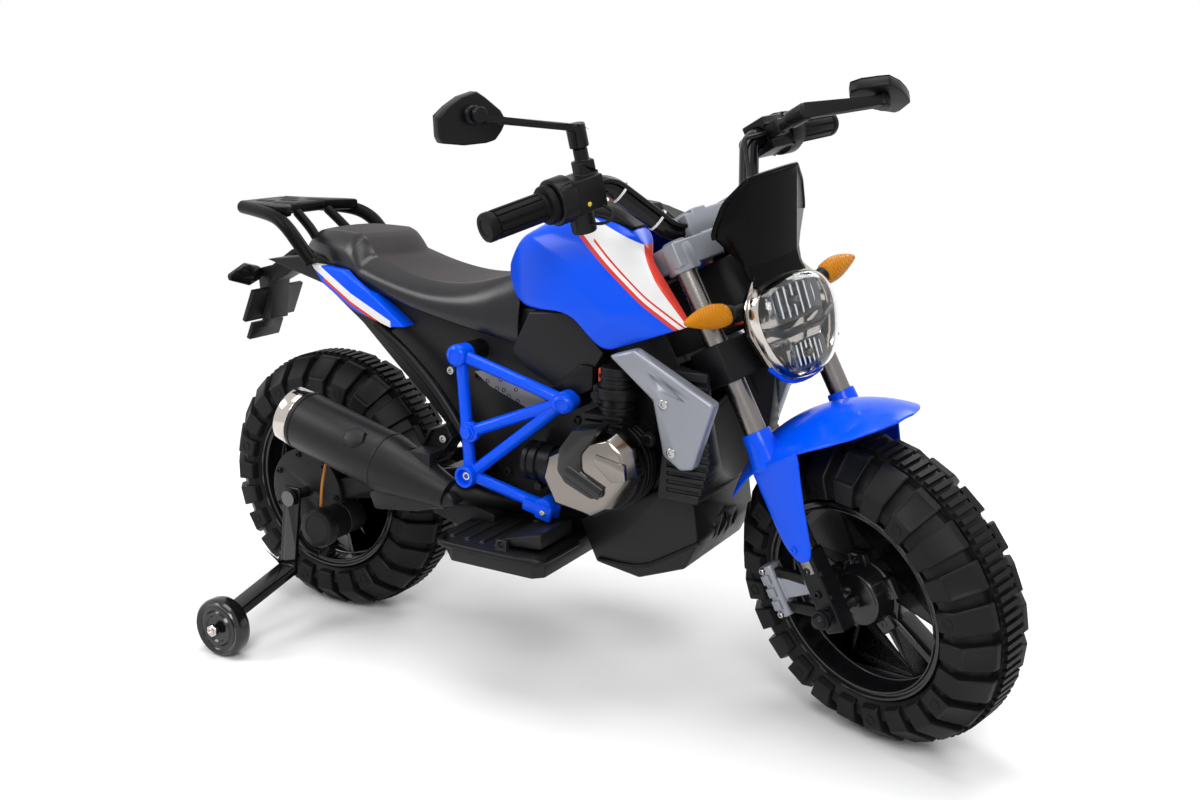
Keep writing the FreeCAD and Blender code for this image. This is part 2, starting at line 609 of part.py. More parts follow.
def mirror_outline(side, lip):
    corners = [(-side * u, v) for u, v in MIRROR_CORNERS]
    wide, tall = "sizes.mirror_width - 2 * %s" % lip, "sizes.mirror_height - 2 * %s" % lip
    return shares(corners, ("0", wide), ("0", tall))


def mirror_parts(name, side):
    # The arm's sleeve turns on the post, where the left one stands swung out; the head tilts on the
    # boss at the arm's tip.
    lift = -side
    middle = size("socket_at")
    swing = size("left_arm_swing") if side > 0 else 0
    swung = Place(Vec(0, 0, 0), Rot(LEFT, swing), Vec(0, 0, middle))
    local = steered.multiply(grip_place(side)).multiply(perch_turn(side)).multiply(swung)
    base, top = size("perch_top") + size("seat_gap"), size("sleeve_top")
    sleeve = rod("sleeve", Vec(0, lift * base, middle), Vec(0, lift * top, middle), cell("sleeve_radius"))
    bore_end = Vec(0, lift * (size("post_top") + size("seat_gap")), middle)
    bore = rod("sleeve_bore", Vec(0, 0, middle), bore_end, bored("post_radius"))
    root, tip = size("arm_root") / 2, size("arm_tip") / 2
    boss_back = -size("arm_back")
    far = Vec(boss_back, lift * (top + size("arm_rise")), middle + size("arm_reach"))
    near = Vec(0, lift * (top if side < 0 else top - size("arm_thickness")), middle)
    run = near.distanceToPoint(far)
    ends = [("-%s" % root, "0"), ("%s" % root, "0"), ("%s" % tip, "%s" % run), ("-%s" % tip, "%s" % run)]
    blade = prism("arm_blade", ends, Place(Vec(0, 0, 0), ACROSS), cell("arm_thickness"))
    blade.Placement = Place(near, Rot(UP, far - near))
    boss_end = far - Vec(size("arm_thickness"), 0, 0)
    boss = rod("arm_boss", far + Vec(size("boss_radius"), 0, 0), boss_end, cell("boss_radius"))
    arm = cut("arm_" + name, fuse("arm_blank", sleeve, blade, boss), bore)
    node(arm, "mirror_arm_" + name, local)

    # The head's outline lies across the bar, with its glass recess towards the rider.
    shell = prism("mirror_shell", mirror_outline(side, "0"), Place(), cell("mirror_depth"))
    floor = Place(Vec(0, 0, size("mirror_depth") - size("glass_recess")), Rot())
    recess = prism("mirror_recess", mirror_outline(side, cell("mirror_lip")), floor, "2 * sizes.glass_recess")
    face = boss_end - Vec(size("seat_gap"), 0, 0)
    turn = Place(face, Rot(Vec(0, 0, -side), Vec(0, lift, 0), Vec(-1, 0, 0), "ZXY"))
    node(cut("head_" + name, shell, recess), "mirror_head_" + name, local.multiply(turn))


# Rings of the lens and of the reflector: share of the depth, and share of the rim's outline.
LENS_RINGS = ((0, 1), (0.45, 0.95), (0.82, 0.76), (1, 0.45))
BOWL_RINGS = ((0, 1), (0.6, 0.92), (1, 0.62))
BUCKET_RINGS = ((0, 1), (0.55, 0.94), (1, 0.66))


def light_section(name, along, scale, inset):
    # The headlight's outline at a distance ahead of its rim plane.
    half = [(0.40, 0.02), (0.76, 0.22), (1, 0.54), (0.95, 0.79), (0.64, 0.96)]
    points = []
    for u, v in both_sides(half):
        across = "%s * (sizes.light_half_width - %s)" % (u * scale, inset)
        height = "%s + %s * (sizes.light_height - 2 * %s)" % (inset, 0.5 + (v - 0.5) * scale, inset)
        points.append((across, height))
    return outline(name, points, Place(Vec(along, 0, 0), FACING))


def light_form(name, rings, depth, inset="0"):
    sections = []
    for share, scale in rings:
        sections.append(light_section(name + "_section", share * depth, scale, inset))
    return feature("Part::Loft", name, Sections=sections, Solid=True, Ruled=True)


def headlight():
    local = Place(Vec(size("light_lead"), 0, size("light_low")), Rot(LEFT, size("light_lean")))
    depth, wall, back, dish = size("lens_depth"), size("lens_wall"), size("bucket_depth"), size("dish_depth")
    dome = light_form("lens_dome", LENS_RINGS, depth)
    hollow = light_form("lens_hollow", LENS_RINGS, depth - wall, cell("lens_wall"))
    node(cut("headlight_lens", dome, hollow), "headlight_lens", steered.multiply(local))

    shell = light_form("bucket_form", BUCKET_RINGS, -back)
    pocket = light_form("bucket_pocket", BOWL_RINGS, -dish, cell("bucket_wall"))
    root = Vec(size("clamp_front"), 0, size("post_height"))
    post = rod("light_post", root, Vec(size("light_lead"), 0, root.z), cell("light_post"))
    post.Placement = local.inverse().multiply(post.Placement)
    bucket = cut("headlight_bucket", fuse("bucket_blank", shell, post), pocket)
    node(bucket, "headlight_bucket", steered.multiply(local))
    thin = dish - size("dish_wall")
    scoop = light_form("dish_scoop", BOWL_RINGS, -thin, "(%s)" % plus("bucket_wall", "dish_wall"))
    dish_form = light_form("dish_form", BOWL_RINGS, -dish, cell("bucket_wall"))
    node(cut("headlight_reflector", dish_form, scoop), "headlight_reflector", steered.multiply(local))
    room = group("bucket_room", [shell])
    room.Placement = local
    return room


def windshield(clamp_plate):
    local = Place(Vec(size("screen_lead"), 0, size("screen_low")), Rot(LEFT, size("screen_lean")))
    half = [(0.52, 0), (0.80, 0.22), (1, 0.52), (0.92, 0.76), (0.66, 0.98), (0.55, 1)]
    points = shares(both_sides(half), ("0", cell("screen_half_width")), ("0", cell("screen_height")))
    bend, tall = size("screen_bend"), size("screen_height")
    front = prism("screen_front", points, Place(Vec(-bend / 2, 0, 0), FACING), cell("screen_bend"))
    foot, head = Vec(-bend, 0, -tall), Vec(-bend, 0, 2 * tall)
    outer = rod("screen_outer", foot, head, cell("screen_bend"))
    inner = rod("screen_inner", foot, head, "sizes.screen_bend - sizes.screen_wall")
    sheet_part = common("screen_sheet", front, cut("screen_curve", outer, inner))
    struts = []
    spread = size("riser_half")
    for side in (-1, 1):
        skin = -bend + math.sqrt((bend - size("screen_wall") / 2) ** 2 - spread ** 2)
        end = Vec(skin, side * spread, 0.36 * tall)
        root = Vec(size("clamp_front"), side * spread, (size("top_clamp_low") + size("top_clamp_high")) / 2)
        struts.append(rod("screen_strut", local.inverse().multVec(root), end, cell("screen_strut")))
    clamp_room = group("clamp_room", [clamp_plate])
    clamp_room.Placement = local.inverse()
    screen = cut("windshield", fuse("screen_blank", sheet_part, *struts), clamp_room)
    node(screen, "windshield", steered.multiply(local))


def leaf(name, centre, side, root, start):
    # A pointed lamp that runs outwards from start, on a round stalk from root.
    hexagon = [(-0.5, 0.1), (-0.2, 0.5), (0.3, 0.42), (0.5, -0.1), (0.2, -0.5), (-0.3, -0.42)]
    sections = []
    for share, scale in ((0, 0.62), (0.4, 1), (1, 0.3)):
        x_axis = ("%s" % centre.x, "%s * sizes.signal_deep" % scale)
        z_axis = ("%s" % centre.z, "%s * sizes.signal_tall" % scale)
        spot = Vec(0, side * (start + share * size("signal_length")), 0)
        sections.append(outline(name + "_section", shares(hexagon, x_axis, z_axis), Place(spot, ACROSS)))
    lamp = feature("Part::Loft", name + "_lamp", Sections=sections, Solid=True, Ruled=True)
    stalk_root = Vec(centre.x, side * root, centre.z)
    stalk_end = Vec(centre.x, side * (start + size("signal_stalk")), centre.z)
    stalk = rod(name + "_stalk", stalk_root, stalk_end, cell("signal_stalk"))
    return fuse(name, lamp, stalk)


def front_signals(light_room):
    centre = Vec(size("signal_lead"), 0, size("signal_height"))
    lamps = []
    for side in (-1, 1):
        lamp = leaf("front_lamp", centre, side, 0.7 * size("light_half_width"), size("signal_start"))
        lamps.append(cut("front_signal", lamp, light_room))
    node(group("front_signals", lamps), "front_signals", steered)


FENDER_STEPS = (1, 0.94, 0.84, 0.68, 0.48, 0.26, 0.09)
FENDER_TONGUE = [
    (1, 0.10), (0.96, 0.24), (0.86, 0.41), (0.62, 0.67), (0.28, 0.84), (-0.07, 0.93), (-0.2, 0.98),
    (-0.37, 1.03), (-1.6, 1.03),
]


def fender():
    # A domed hood that ends in a rounded tongue, with a leg down each fork tube.
    radius, w = "sizes.fender_radius", "sizes.fender_half_width"
    wall, dome = "sizes.fender_wall", "sizes.fender_dome"
    outer, inner = [], []
    for share in FENDER_STEPS:
        crown = "%s - %s * %s" % (radius, share ** 2, dome)
        outer.append((crown, "%s * %s" % (share, w)))
        inner.append(("%s - %s" % (crown, wall), "%s * (%s - %s)" % (share, w, wall)))
    points = outer + [(u, "-(%s)" % v) for u, v in reversed(outer)]
    points += [(u, "-(%s)" % v) for u, v in inner] + list(reversed(inner))
    sketch = outline("fender_profile", points)
    hood = feature("Part::Revolution", "fender_hood", Source=sketch, Axis=LEFT, Solid=True)
    hood.Base = Vec(0, 0, 0)
    hood.setExpression("Angle", "sizes.fender_front + sizes.fender_back")
    middle = Vec(size("fender_ahead"), 0, size("fender_above"))
    hood.Placement = Place(middle, Rot(LEFT, -90 - size("fender_back")))
    half = [("%s * sizes.fender_reach" % u, "%s * %s" % (v, w)) for u, v in FENDER_TONGUE]
    plan = half + [(u, "-(%s)" % v) for u, v in reversed(half)]
    aimed = Place(Vec(0, 0, 0), Rot(LEFT, size("fender_aim")))
    tongue = prism("fender_tongue", plan, aimed, "2 * " + radius)
    foot, back, front, top = "sizes.leg_foot", "sizes.leg_half", "sizes.leg_front", "sizes.leg_top"
    taper, turn = "sizes.leg_taper", "sizes.leg_round"
    leg_points = [
        ("-" + back, top),
        ("-" + back, "%s + %s" % (foot, taper)),
        ("-0.5 * " + turn, foot),
        ("0.5 * " + back, "%s + 0.375 * %s" % (foot, turn)),
        ("%s + 0.25 * %s" % (back, turn), "%s + %s" % (foot, taper)),
        ("%s - %s" % (front, turn), "%s - 2.125 * %s" % (top, turn)),
        (front, top),
        ("%s + 0.375 * %s" % (back, turn), "%s + 0.625 * %s" % (top, turn)),
    ]
    legs, rooms = [], []
    for side in (-1, 1):
        start = size("fender_half_width") if side > 0 else -size("fender_half_width") + size("fender_wall")
        legs.append(prism("fender_leg", leg_points, Place(Vec(0, start, 0), ACROSS), wall))
        low = Vec(0, side * size("fork_spread"), 0)
        room = rod("fender_room", low, low + UP * size("fork_top"), plus("fork_radius", "seat_gap"))
        rooms.append(room)
    blank = fuse("fender_blank", common("fender_crown", hood, tongue), *legs)
    node(cut("front_fender", blank, *rooms), "front_fender", front_wheel_place)


# Route of a lamp wire in the fork's frame: forward, left, and up from the upper clamp's underside. It
# ends inside the headlight.
WIRE_ROUTE = [(-2, -52, 0), (-2, -52, -18), (-12, -60, -34), (-16, -58, -54), (2, -44, -72)]
WIRE_END = Vec(48, -30, 306)


def cables(light_room):
    # Leads that the handlebar and the fork carry, in the fork's frame.
    cable, wire = size("cable_radius"), size("wire_radius")
    ahead = Vec(size("cable_lead"), 0, 0)
    end, bend, low = bar_points()[:3]
    start = bend + (end - bend).normalize() * size("housing_start")
    riser = size("riser_half") + size("riser_width") / 2
    stop = Vec(low.x, -riser, low.z)
    right = [spot + ahead for spot in (start, bend, low, stop)]
    left = [Vec(spot.x, -spot.y, spot.z) for spot in right]
    # The left cable is slack: it cuts inside the bar's bend.
    left[1] = Vec(left[1].x, 0.8 * left[1].y, left[1].z)
    left[2] = Vec(left[2].x, 0.92 * left[2].y, left[2].z)
    slack = size("slack_bend")
    paths = [tube("control_cable", right, cable, size("bar_bend")), tube("control_cable", left, cable, slack)]
    # Three thin wires hang from the upper clamp and run into the headlight.
    top = size("top_clamp_low") - size("seat_gap")
    for step in range(3):
        shift = step * size("wire_pitch")
        spots = [Vec(x + shift, y, top + z) for x, y, z in WIRE_ROUTE] + [WIRE_END + LEFT * shift]
        paths.append(cut("light_wire", tube("light_lead_wire", spots, wire, slack), light_room))
    node(group("control_cables", paths), "control_cables", steered)


TANK_SIDE = [
    (0, 0.50), (0.017, 0.364), (0.11, 0.24), (0.19, 0.235), (0.438, 0.27), (0.456, 0.22), (0.585, 0),
    (0.723, 0.08), (1, 0.26), (0.825, 0.70), (0.797, 0.85), (0.723, 0.95), (0.456, 1), (0.226, 0.88),
    (0.10, 0.714), (0.045, 0.61),
]
TANK_SECTION = [(0.9, 0), (1, 0.30), (0.95, 0.56), (0.76, 0.82), (0.42, 0.97), (0, 1)]
TANK_PLAN = [(0, 0.54), (0.10, 0.72), (0.27, 0.87), (0.60, 1), (0.82, 0.98), (1, 0.87)]
SEAT_SIDE = [
    (1, 0), (0.965, 0.77), (0.885, 0.70), (0.667, 0.56), (0.435, 0.66), (0.325, 0.75), (0.278, 0.97),
    (0.145, 1), (0.023, 0.95), (0, 0.77), (0.10, 0.64), (0.577, 0.26),
]
SEAT_SECTION = [(0.92, 0), (1, 0.36), (0.94, 0.62), (0.80, 0.80), (0.62, 1)]
SEAT_PLAN = [(0, 0.45), (0.12, 0.72), (0.33, 0.93), (0.62, 1), (0.85, 0.98), (1, 0.86)]
SHELL_SHELF = 0.775  # the level step under the tank, where the control box stands
SHELL_SIDE = [
    (0, 0.852), (0.089, 0.875), (0.13, 0.884), (0.39, 0.76), (0.60, 0.672), (0.615, SHELL_SHELF),
    (0.76, SHELL_SHELF), (0.845, 0.975), (0.91, 0.994), (1, 0.787), (0.99, 0.662), (0.926, 0.35),
    (0.91, 0.147), (0.78, 0), (0.53, 0), (0.515, 0.162), (0.477, 0.238), (0.396, 0.39), (0.332, 0.494),
    (0.245, 0.647), (0.15, 0.778), (0.04, 0.832),
]


def half_space(name, side):
    reach = 2 * size("wheelbase")
    low = Vec(-reach, 0 if side > 0 else -reach, -reach)
    return block(name, low, low + Vec(2 * reach, reach, 2 * reach))


def body_shells(rooms):
    # Two hollow halves that meet on the centre plane and hold the head tube between them.
    form = moulding("shell_form", "shell", SHELL_SIDE)
    wide, gap = size("neck_half_width"), size("sweep_gap")
    neck_low = Vec(-size("neck_length"), -wide, size("low_clamp_high") + gap)
    neck_high = Vec(0, wide, size("top_clamp_low") - gap)
    neck = block("neck", neck_low, neck_high)
    head = rod("head_tube", Vec(0, 0, neck_low.z), Vec(0, 0, neck_high.z), cell("neck_radius"))
    head_bore = rod("head_bore", Vec(0, 0, 0), Vec(0, 0, size("sweep_high")), bored("stem_radius"))
    neck_part = cut("neck_part", fuse("neck_blank", neck, head), head_bore)
    neck_part.Placement = straight
    trimmed = fuse("shell_blank", cut("shell_trim", form, *rooms), neck_part)
    inner_line = feature("Part::Offset2D", "shell_inner_line", Source=form.Base)
    inner_line.Join = "Intersection"
    inner_line.setExpression("Value", "-sizes.shell_wall")
    bay = feature("Part::Extrusion", "shell_bay", Base=inner_line, DirMode="Custom", Solid=True)
    bay.Dir = Vec(0, -1, 0)
    bay.setExpression("LengthFwd", "2 * (sizes.shell_half_width - sizes.shell_wall)")
    bay.Placement = Place(Vec(0, -size("shell_wall"), 0), Rot())
    # A solid bridge from wall to wall carries the neck inside the hollow.
    half = size("shell_half_width")
    bridge_low = Vec(neck_low.x - size("neck_wall"), -half, neck_low.z - size("neck_wall"))
    bridge = block("neck_bridge", bridge_low, Vec(0, half, neck_high.z + size("neck_wall")))
    bridge.Placement = straight.multiply(bridge.Placement)
    hollow = cut("shell_hollow", bay, bridge)
    shell = cut("shell_pair", trimmed, hollow)
    for name, side in (("right", -1), ("left", 1)):
        label = "body_shell_" + name
        node(common(label, shell, half_space(label + "_side", side)), label)
    return trimmed


def tank(rooms, shell):
    form = moulding("tank_form", "tank", TANK_SIDE, TANK_SECTION, TANK_PLAN)
    wall, sink = cell("tank_wall"), cell("hollow_sink")
    hollow = moulding("tank_hollow", "tank", TANK_SIDE, TANK_SECTION, TANK_PLAN, wall, sink)
    spine = size("spine_half_width")
    reach = size("wheelbase")
    gap = block("tank_gap", Vec(-reach, -spine, 0), Vec(reach, spine, reach))
    node(cut("tank_shells", form, hollow, gap, shell, *rooms), "tank_shells")
    lowered = group("tank_lowered", [form])
    lowered.Placement = Place(Vec(0, 0, -size("cover_depth")), Rot())
    button_at = Vec(size("button_x"), 0, 0)
    hole = rod("button_hole", button_at, button_at + UP * reach, plus("button_radius", "button_gap"))
    strip = common("cover_strip", form, gap)
    node(cut("tank_top_cover", strip, lowered, hole, shell, *rooms), "tank_top_cover")
    top = size("tank_z") + size("tank_height")
    low = button_at + UP * (top - size("cover_depth") * 0.6)
    high = button_at + UP * (top + size("button_proud"))
    node(rod("power_button", low, high, cell("button_radius")), "power_button")
    return form


def seat(shell, tank_form):
    form = moulding("seat_form", "seat", SEAT_SIDE, SEAT_SECTION, SEAT_PLAN)
    wall, sink = cell("seat_wall"), cell("hollow_sink")
    hollow = moulding("seat_hollow", "seat", SEAT_SIDE, SEAT_SECTION, SEAT_PLAN, wall, sink)
    node(cut("seat", form, hollow, shell, tank_form), "seat")
    return form


def trellis_points():
    names = ("top", "front", "mid", "low", "toe")
    return {name: Vec(size(name + "_knot_x"), -size("trellis_y"), size(name + "_knot_z")) for name in names}


def trellis():
    # Tubes between five knots, with a boss through each knot to the body shell.
    knots = trellis_points()
    runs = (("top", "front"), ("top", "low"), ("mid", "front"), ("low", "front"), ("low", "toe"))
    pieces = [rod("trellis_tube", knots[a], knots[b], cell("trellis_tube")) for a, b in runs]
    for name, spot in knots.items():
        inner = Vec(spot.x, -size("shell_half_width"), spot.z)
        if name == "mid":
            inner = spot
        outer = Vec(spot.x, spot.y - size("trellis_cap"), spot.z)
        pieces.append(rod("trellis_boss", inner, outer, cell("trellis_boss")))
    right = fuse("trellis_right", *pieces)
    node(right, "trellis_frame_right")
    node(mirror("trellis_left", right), "trellis_frame_left")
    return right


def paired(label, right):
    # Right and left copies of one moulding share a node.
    return node(group(label, [right, mirror(label + "_left", right)]), label)


def side_covers(tank_form, seat_form, frame):
    outline_pairs = [
        (0, 0.43), (0.20, 0.93), (0.71, 1), (0.75, 0.91), (1, 0.54), (0.86, 0.25), (0.61, 0), (0.19, 0.22),
    ]
    form = moulding("side_form", "side", outline_pairs)
    core = size("shell_half_width")
    reach = size("wheelbase")
    inner = block("side_inner", Vec(-reach, -core, 0), Vec(reach, reach, reach))
    paired("side_covers", cut("side_cover", form, inner, tank_form, seat_form, frame))


def tail(seat_form):
    outline_pairs = [
        (0.02, 0.98), (0.41, 0.95), (0.69, 0.58), (1, 0.05), (0.855, 0.02), (0.55, 0.23), (0.16, 0.65),
    ]
    form = moulding("tail_form", "tail", outline_pairs, None, [(0, 0.84), (0.5, 1), (1, 0.97)])
    reach = size("wheelbase")
    inner = block("tail_inner", Vec(-reach, -size("shell_half_width"), 0), Vec(reach, reach, reach))
    return paired("tail_panels", cut("tail_panel", form, inner, seat_form))


def rack(tail_pair, shell):
    rear, front, top = size("rack_rear"), size("rack_front"), size("rack_top")
    half = [
        ("sizes.rack_rear", "0.86 * sizes.rack_rear_half"),
        ("sizes.rack_rear + sizes.rack_corner", "sizes.rack_rear_half"),
        ("sizes.rack_front", "sizes.rack_front_half"),
        ("sizes.rack_front", "sizes.rack_front_half - sizes.rack_lip"),
        ("sizes.rack_front - sizes.rack_arch", "sizes.rack_rear_half - sizes.rack_arch_in"),
    ]
    points = half + [(u, "-(%s)" % v) for u, v in reversed(half)]
    low = top - size("rack_thickness")
    deck = prism("rack_deck", points, Place(Vec(0, 0, low), Rot()), cell("rack_thickness"))
    slot, thick = size("rack_slot"), size("rack_thickness")
    slots = []
    for across in (-1.5, -0.5, 0.5, 1.5):
        middle = across * 1.6 * slot
        start = Vec(rear + size("rack_slot_start"), middle - slot / 2, low - thick)
        slots.append(block("rack_slot", start, start + Vec(0.42 * (front - rear), slot, 3 * thick)))
    legs = []
    for side in (-1, 1):
        spread = side * (size("rack_front_half") - size("rack_tube"))
        head = Vec(front - size("rack_corner"), spread, low + thick / 2)
        foot = Vec(size("rack_foot_x"), spread, size("tail_z") + 0.95 * size("tail_height"))
        legs.append(rod("rack_leg", head, foot, cell("rack_tube")))
        rail_end = head + Vec(-0.5 * (front - rear), -side * size("rack_rail_in"), 0)
        legs.append(rod("rack_rail", rail_end, head, cell("rack_tube")))
    return cut("rack", fuse("rack_blank", cut("rack_plate", deck, *slots), *legs), tail_pair, shell)


def rear_bracket(shell):
    outline_pairs = [
        (1, 0.9), (1, 1), (0.72, 1), (0.30, 0.76), (0.04, 0.70), (0, 0.55), (0.06, 0), (0.22, 0),
        (0.30, 0.52), (0.62, 0.66),
    ]
    neck = moulding("bracket_neck", "bracket", outline_pairs)
    width, tall, thick = size("plate_width"), size("plate_height"), size("plate_thickness")
    lean_back = Rot(LEFT, size("plate_lean"))
    hold = Vec(size("bracket_x"), 0, size("bracket_z"))
    board = block("plate_board", Vec(-thick, -width / 2, 0), Vec(0.5 * thick, width / 2, tall))
    board.Placement = Place(hold, lean_back).multiply(board.Placement)
    tab = size("tab_width") / 2
    tab_top = -size("tab_gap")
    flap_low = Vec(-thick, -tab, tab_top - size("tab_height"))
    flap = block("plate_flap", flap_low, Vec(0.5 * thick, tab, tab_top))
    flap.Placement = Place(hold, lean_back).multiply(flap.Placement)
    half = size("tab_rib")
    rib = block("plate_rib", Vec(-thick, -half, tab_top - half), Vec(thick, half, 0.2 * tall))
    rib.Placement = Place(hold, lean_back).multiply(rib.Placement)
    bracket = cut("plate_bracket", fuse("bracket_blank", neck, board, flap, rib), shell)
    node(bracket, "plate_bracket")
    centre = Vec(size("rear_signal_x"), 0, size("rear_signal_z"))
    lamps = []
    for side in (-1, 1):
        lamp = leaf("rear_lamp", centre, side, size("bracket_half_width"), size("rear_signal_start"))
        lamps.append(cut("rear_signal", lamp, bracket))
    node(group("rear_signals", lamps), "rear_signals")


ENGINE_COVER = [
    (0, 0.39), (0.14, 0.07), (0.57, 0), (0.75, 0.13), (1, 0.55), (0.95, 0.84), (0.78, 1), (0.41, 0.88),
    (0.06, 0.65),
]
ENGINE_INSERT = [
    (0.10, 0.60), (0.40, 0.84), (0.60, 0.90), (0.33, 0.57), (0.40, 0.48), (0.72, 0.28), (0.66, 0.15),
    (0.52, 0.16), (0.16, 0.40),
]


def cover_section(name, pairs, scale, out):
    scaled = [(0.5 + (u - 0.5) * scale, 0.5 + (v - 0.5) * scale) for u, v in pairs]
    long, tall = ("sizes.engine_x", "sizes.engine_length"), ("sizes.engine_z", "sizes.engine_height")
    return outline(name, shares(scaled, long, tall), Place(Vec(0, -out, 0), ACROSS))


def engine():
    core, out = size("shell_half_width"), size("cylinder_out")
    head = Vec(size("cylinder_x"), -core, size("cylinder_z"))
    barrel = rod("engine_barrel", head, Vec(head.x, -out, head.z), cell("cylinder_radius"))
    port = Vec(size("intake_x"), -size("intake_y"), head.z)
    intake = rod("engine_intake", port, Vec(port.x, port.y, size("intake_top")), cell("intake_radius"))
    collar = Vec(port.x, port.y, size("intake_top") - size("collar_drop"))
    bell_end = collar + UP * size("collar_width")
    bell = rod("engine_collar", collar, bell_end, plus("intake_radius", "collar_lip"))
    start = Vec(size("elbow_x"), -size("elbow_y") + size("elbow_radius"), size("elbow_z"))
    elbow = rod("engine_elbow", start, Vec(head.x, start.y, start.z), cell("elbow_radius"))
    lip = start + FORWARD * size("collar_width")
    ring_end = lip + FORWARD * size("elbow_ring")
    ring = rod("engine_elbow_ring", lip, ring_end, "sizes.elbow_radius + 0.5 * sizes.collar_lip")
    paired("engine_cylinders", fuse("engine_cylinder", barrel, intake, bell, elbow, ring))

    end = size("engine_out")
    sections = []
    for share, scale in ((0, 1), (0.6, 1), (1, size("cover_taper"))):
        sections.append(cover_section("cover_section", ENGINE_COVER, scale, out + share * (end - out)))
    cap = feature("Part::Loft", "cover_cap", Sections=sections, Solid=True, Ruled=True)
    base = cover_section("insert_outline", ENGINE_INSERT, 1, end - size("insert_depth"))
    insert = feature("Part::Extrusion", "engine_insert", Base=base, DirMode="Normal", Solid=True)
    insert.setExpression("LengthFwd", "sizes.insert_depth + sizes.insert_proud")
    paired("engine_covers", cut("engine_cover", cap, insert))
    paired("engine_inserts", insert)


def radiator(shell, rooms):
    side = [(0, 0), (0.80, 0), (1, 0.3), (0.92, 1), (0.2, 1)]
    form = moulding("radiator_form", "radiator", side)
    slots = []
    level = size("radiator_z") + size("fin_pitch")
    while level < size("radiator_z") + size("radiator_height") - size("fin_pitch"):
        half, deep = size("radiator_half_width"), size("fin_depth")
        for side_sign in (-1, 1):
            edge = side_sign * half
            near, far = sorted((edge, edge - side_sign * deep))
            low = Vec(size("radiator_x") + size("fin_start"), near, level)
            high = Vec(low.x + size("radiator_length"), far, level + size("fin_pitch") / 2)
            slots.append(block("fin_slot", low, high))
        level += size("fin_pitch")
    node(cut("radiator", form, shell, *rooms, *slots), "radiator")
    return form


def shrouds(tank_form):
    side = [(0, 0.92), (0.24, 1), (1, 0.61), (0.82, 0.02), (0.70, 0), (0.54, 0.11), (0.43, 0.58)]
    form = moulding("shroud_form", "shroud", side)
    reach = size("wheelbase")
    inner = block("shroud_inner", Vec(-reach, -size("shroud_inner"), 0), Vec(reach, reach, reach))
    paired("radiator_shrouds", cut("radiator_shroud", form, inner, tank_form))


def belly(shell, radiator_form, rooms):
    side = [(0.01, 0.47), (0.16, 0.08), (0.52, 0.01), (0.89, 0.19), (0.99, 0.47), (0.93, 0.98), (0.69, 0.92)]
    form = moulding("belly_form", "belly", side)
    node(cut("belly_pan", form, shell, radiator_form, *rooms), "belly_pan")


def footboard(label, side, ears):
    # A ribbed step bolted under the shell. It is drawn for the left and mirrored by its sign.
    body = doc.addObject("PartDesign::Body", label)
    sign = "%d * " % side
    x, far, corner = "sizes.board_x", "sizes.board_x + sizes.board_length", "sizes.board_corner"
    corners = [
        (x, sign + "sizes.board_in"),
        (far, sign + "sizes.board_in"),
        (far, sign + "(sizes.board_out - 0.4 * %s)" % corner),
        (far + " - 0.4 * " + corner, sign + "sizes.board_out"),
        (x + " + " + corner, sign + "sizes.board_out"),
        (x, sign + "(sizes.board_out - %s)" % corner),
    ]
    deck = body.newObject("PartDesign::Pad", "deck")
    deck.Profile = body_outline(body, "deck_outline", "XY_Plane", corners)
    deck.setExpression("Length", cell("board_thickness"))
    doc.recompute()
    start = "(%s + sizes.rib_start)" % x
    stop = start + " + sizes.rib_width"
    rib_in = sign + "(sizes.shell_half_width + sizes.rib_in)"
    rib_out = sign + "(sizes.board_out - sizes.rib_out)"
    rib_corners = [(start, rib_in), (stop, rib_in), (stop, rib_out), (start, rib_out)]
    rib = body.newObject("PartDesign::Pad", "rib")
    rib.Profile = body_outline(body, "rib_outline", "XY_Plane", rib_corners)
    rib.setExpression("Length", "sizes.board_thickness + sizes.rib_height")
    doc.recompute()
    ribs = body.newObject("PartDesign::LinearPattern", "ribs")
    ribs.Originals = [rib]
    ribs.Direction = (next(item for item in body.Origin.OriginFeatures if item.Role == "X_Axis"), [""])
    ribs.setExpression("Length", "sizes.rib_pitch * (sizes.rib_count - 1)")
    ribs.setExpression("Occurrences", cell("rib_count"))
    body.Tip = ribs
    body.Placement = Place(Vec(0, 0, size("shell_z") - size("board_thickness")), Rot())
    if not ears:
        return body
    return cut(label + "_drilled", fuse(label + "_eared", body, *ears[:2]), ears[2])


def pedal():
    # A toe wedge on a pin that sits in two ears of the right footboard.
    top = size("shell_z")
    x, height = size("pedal_x"), top + size("pin_height")
    inner, outer, ear = size("pedal_in"), size("pedal_out"), size("pedal_ear")
    gap = size("ear_gap")
    ear_top = height + size("pedal_pin") + size("ear_cap")
    ears = []
    for start in (-outer - gap - ear, -inner + gap):
        ears.append(block("pedal_ear", Vec(x - ear, start, top - gap), Vec(x + ear, start + ear, ear_top)))
    past = 4 * ear
    bore = rod("ear_bore", Vec(x, -outer - past, height), Vec(x, -inner + past, height), bored("pedal_pin"))
    heel, toe = "sizes.pedal_x - sizes.wedge_heel", "sizes.pedal_x + sizes.pedal_length"
    z, deck = "sizes.shell_z + sizes.pin_height", "sizes.shell_z + sizes.pedal_lift"
    wedge_points = [
        (heel, z + " - sizes.wedge_low"),
        (toe, deck),
        (toe, deck + " + sizes.pedal_rise"),
        (heel, z + " + sizes.wedge_high"),
    ]
    inside = Place(Vec(0, -inner, 0), ACROSS)
    wedge = prism("pedal_wedge", wedge_points, inside, "sizes.pedal_out - sizes.pedal_in")
    shaft = rod("pedal_shaft", Vec(x, -outer - ear, height), Vec(x, -inner + ear, height), cell("pedal_pin"))
    node(fuse("foot_pedal", wedge, shaft), "foot_pedal")
    return ears + [bore]


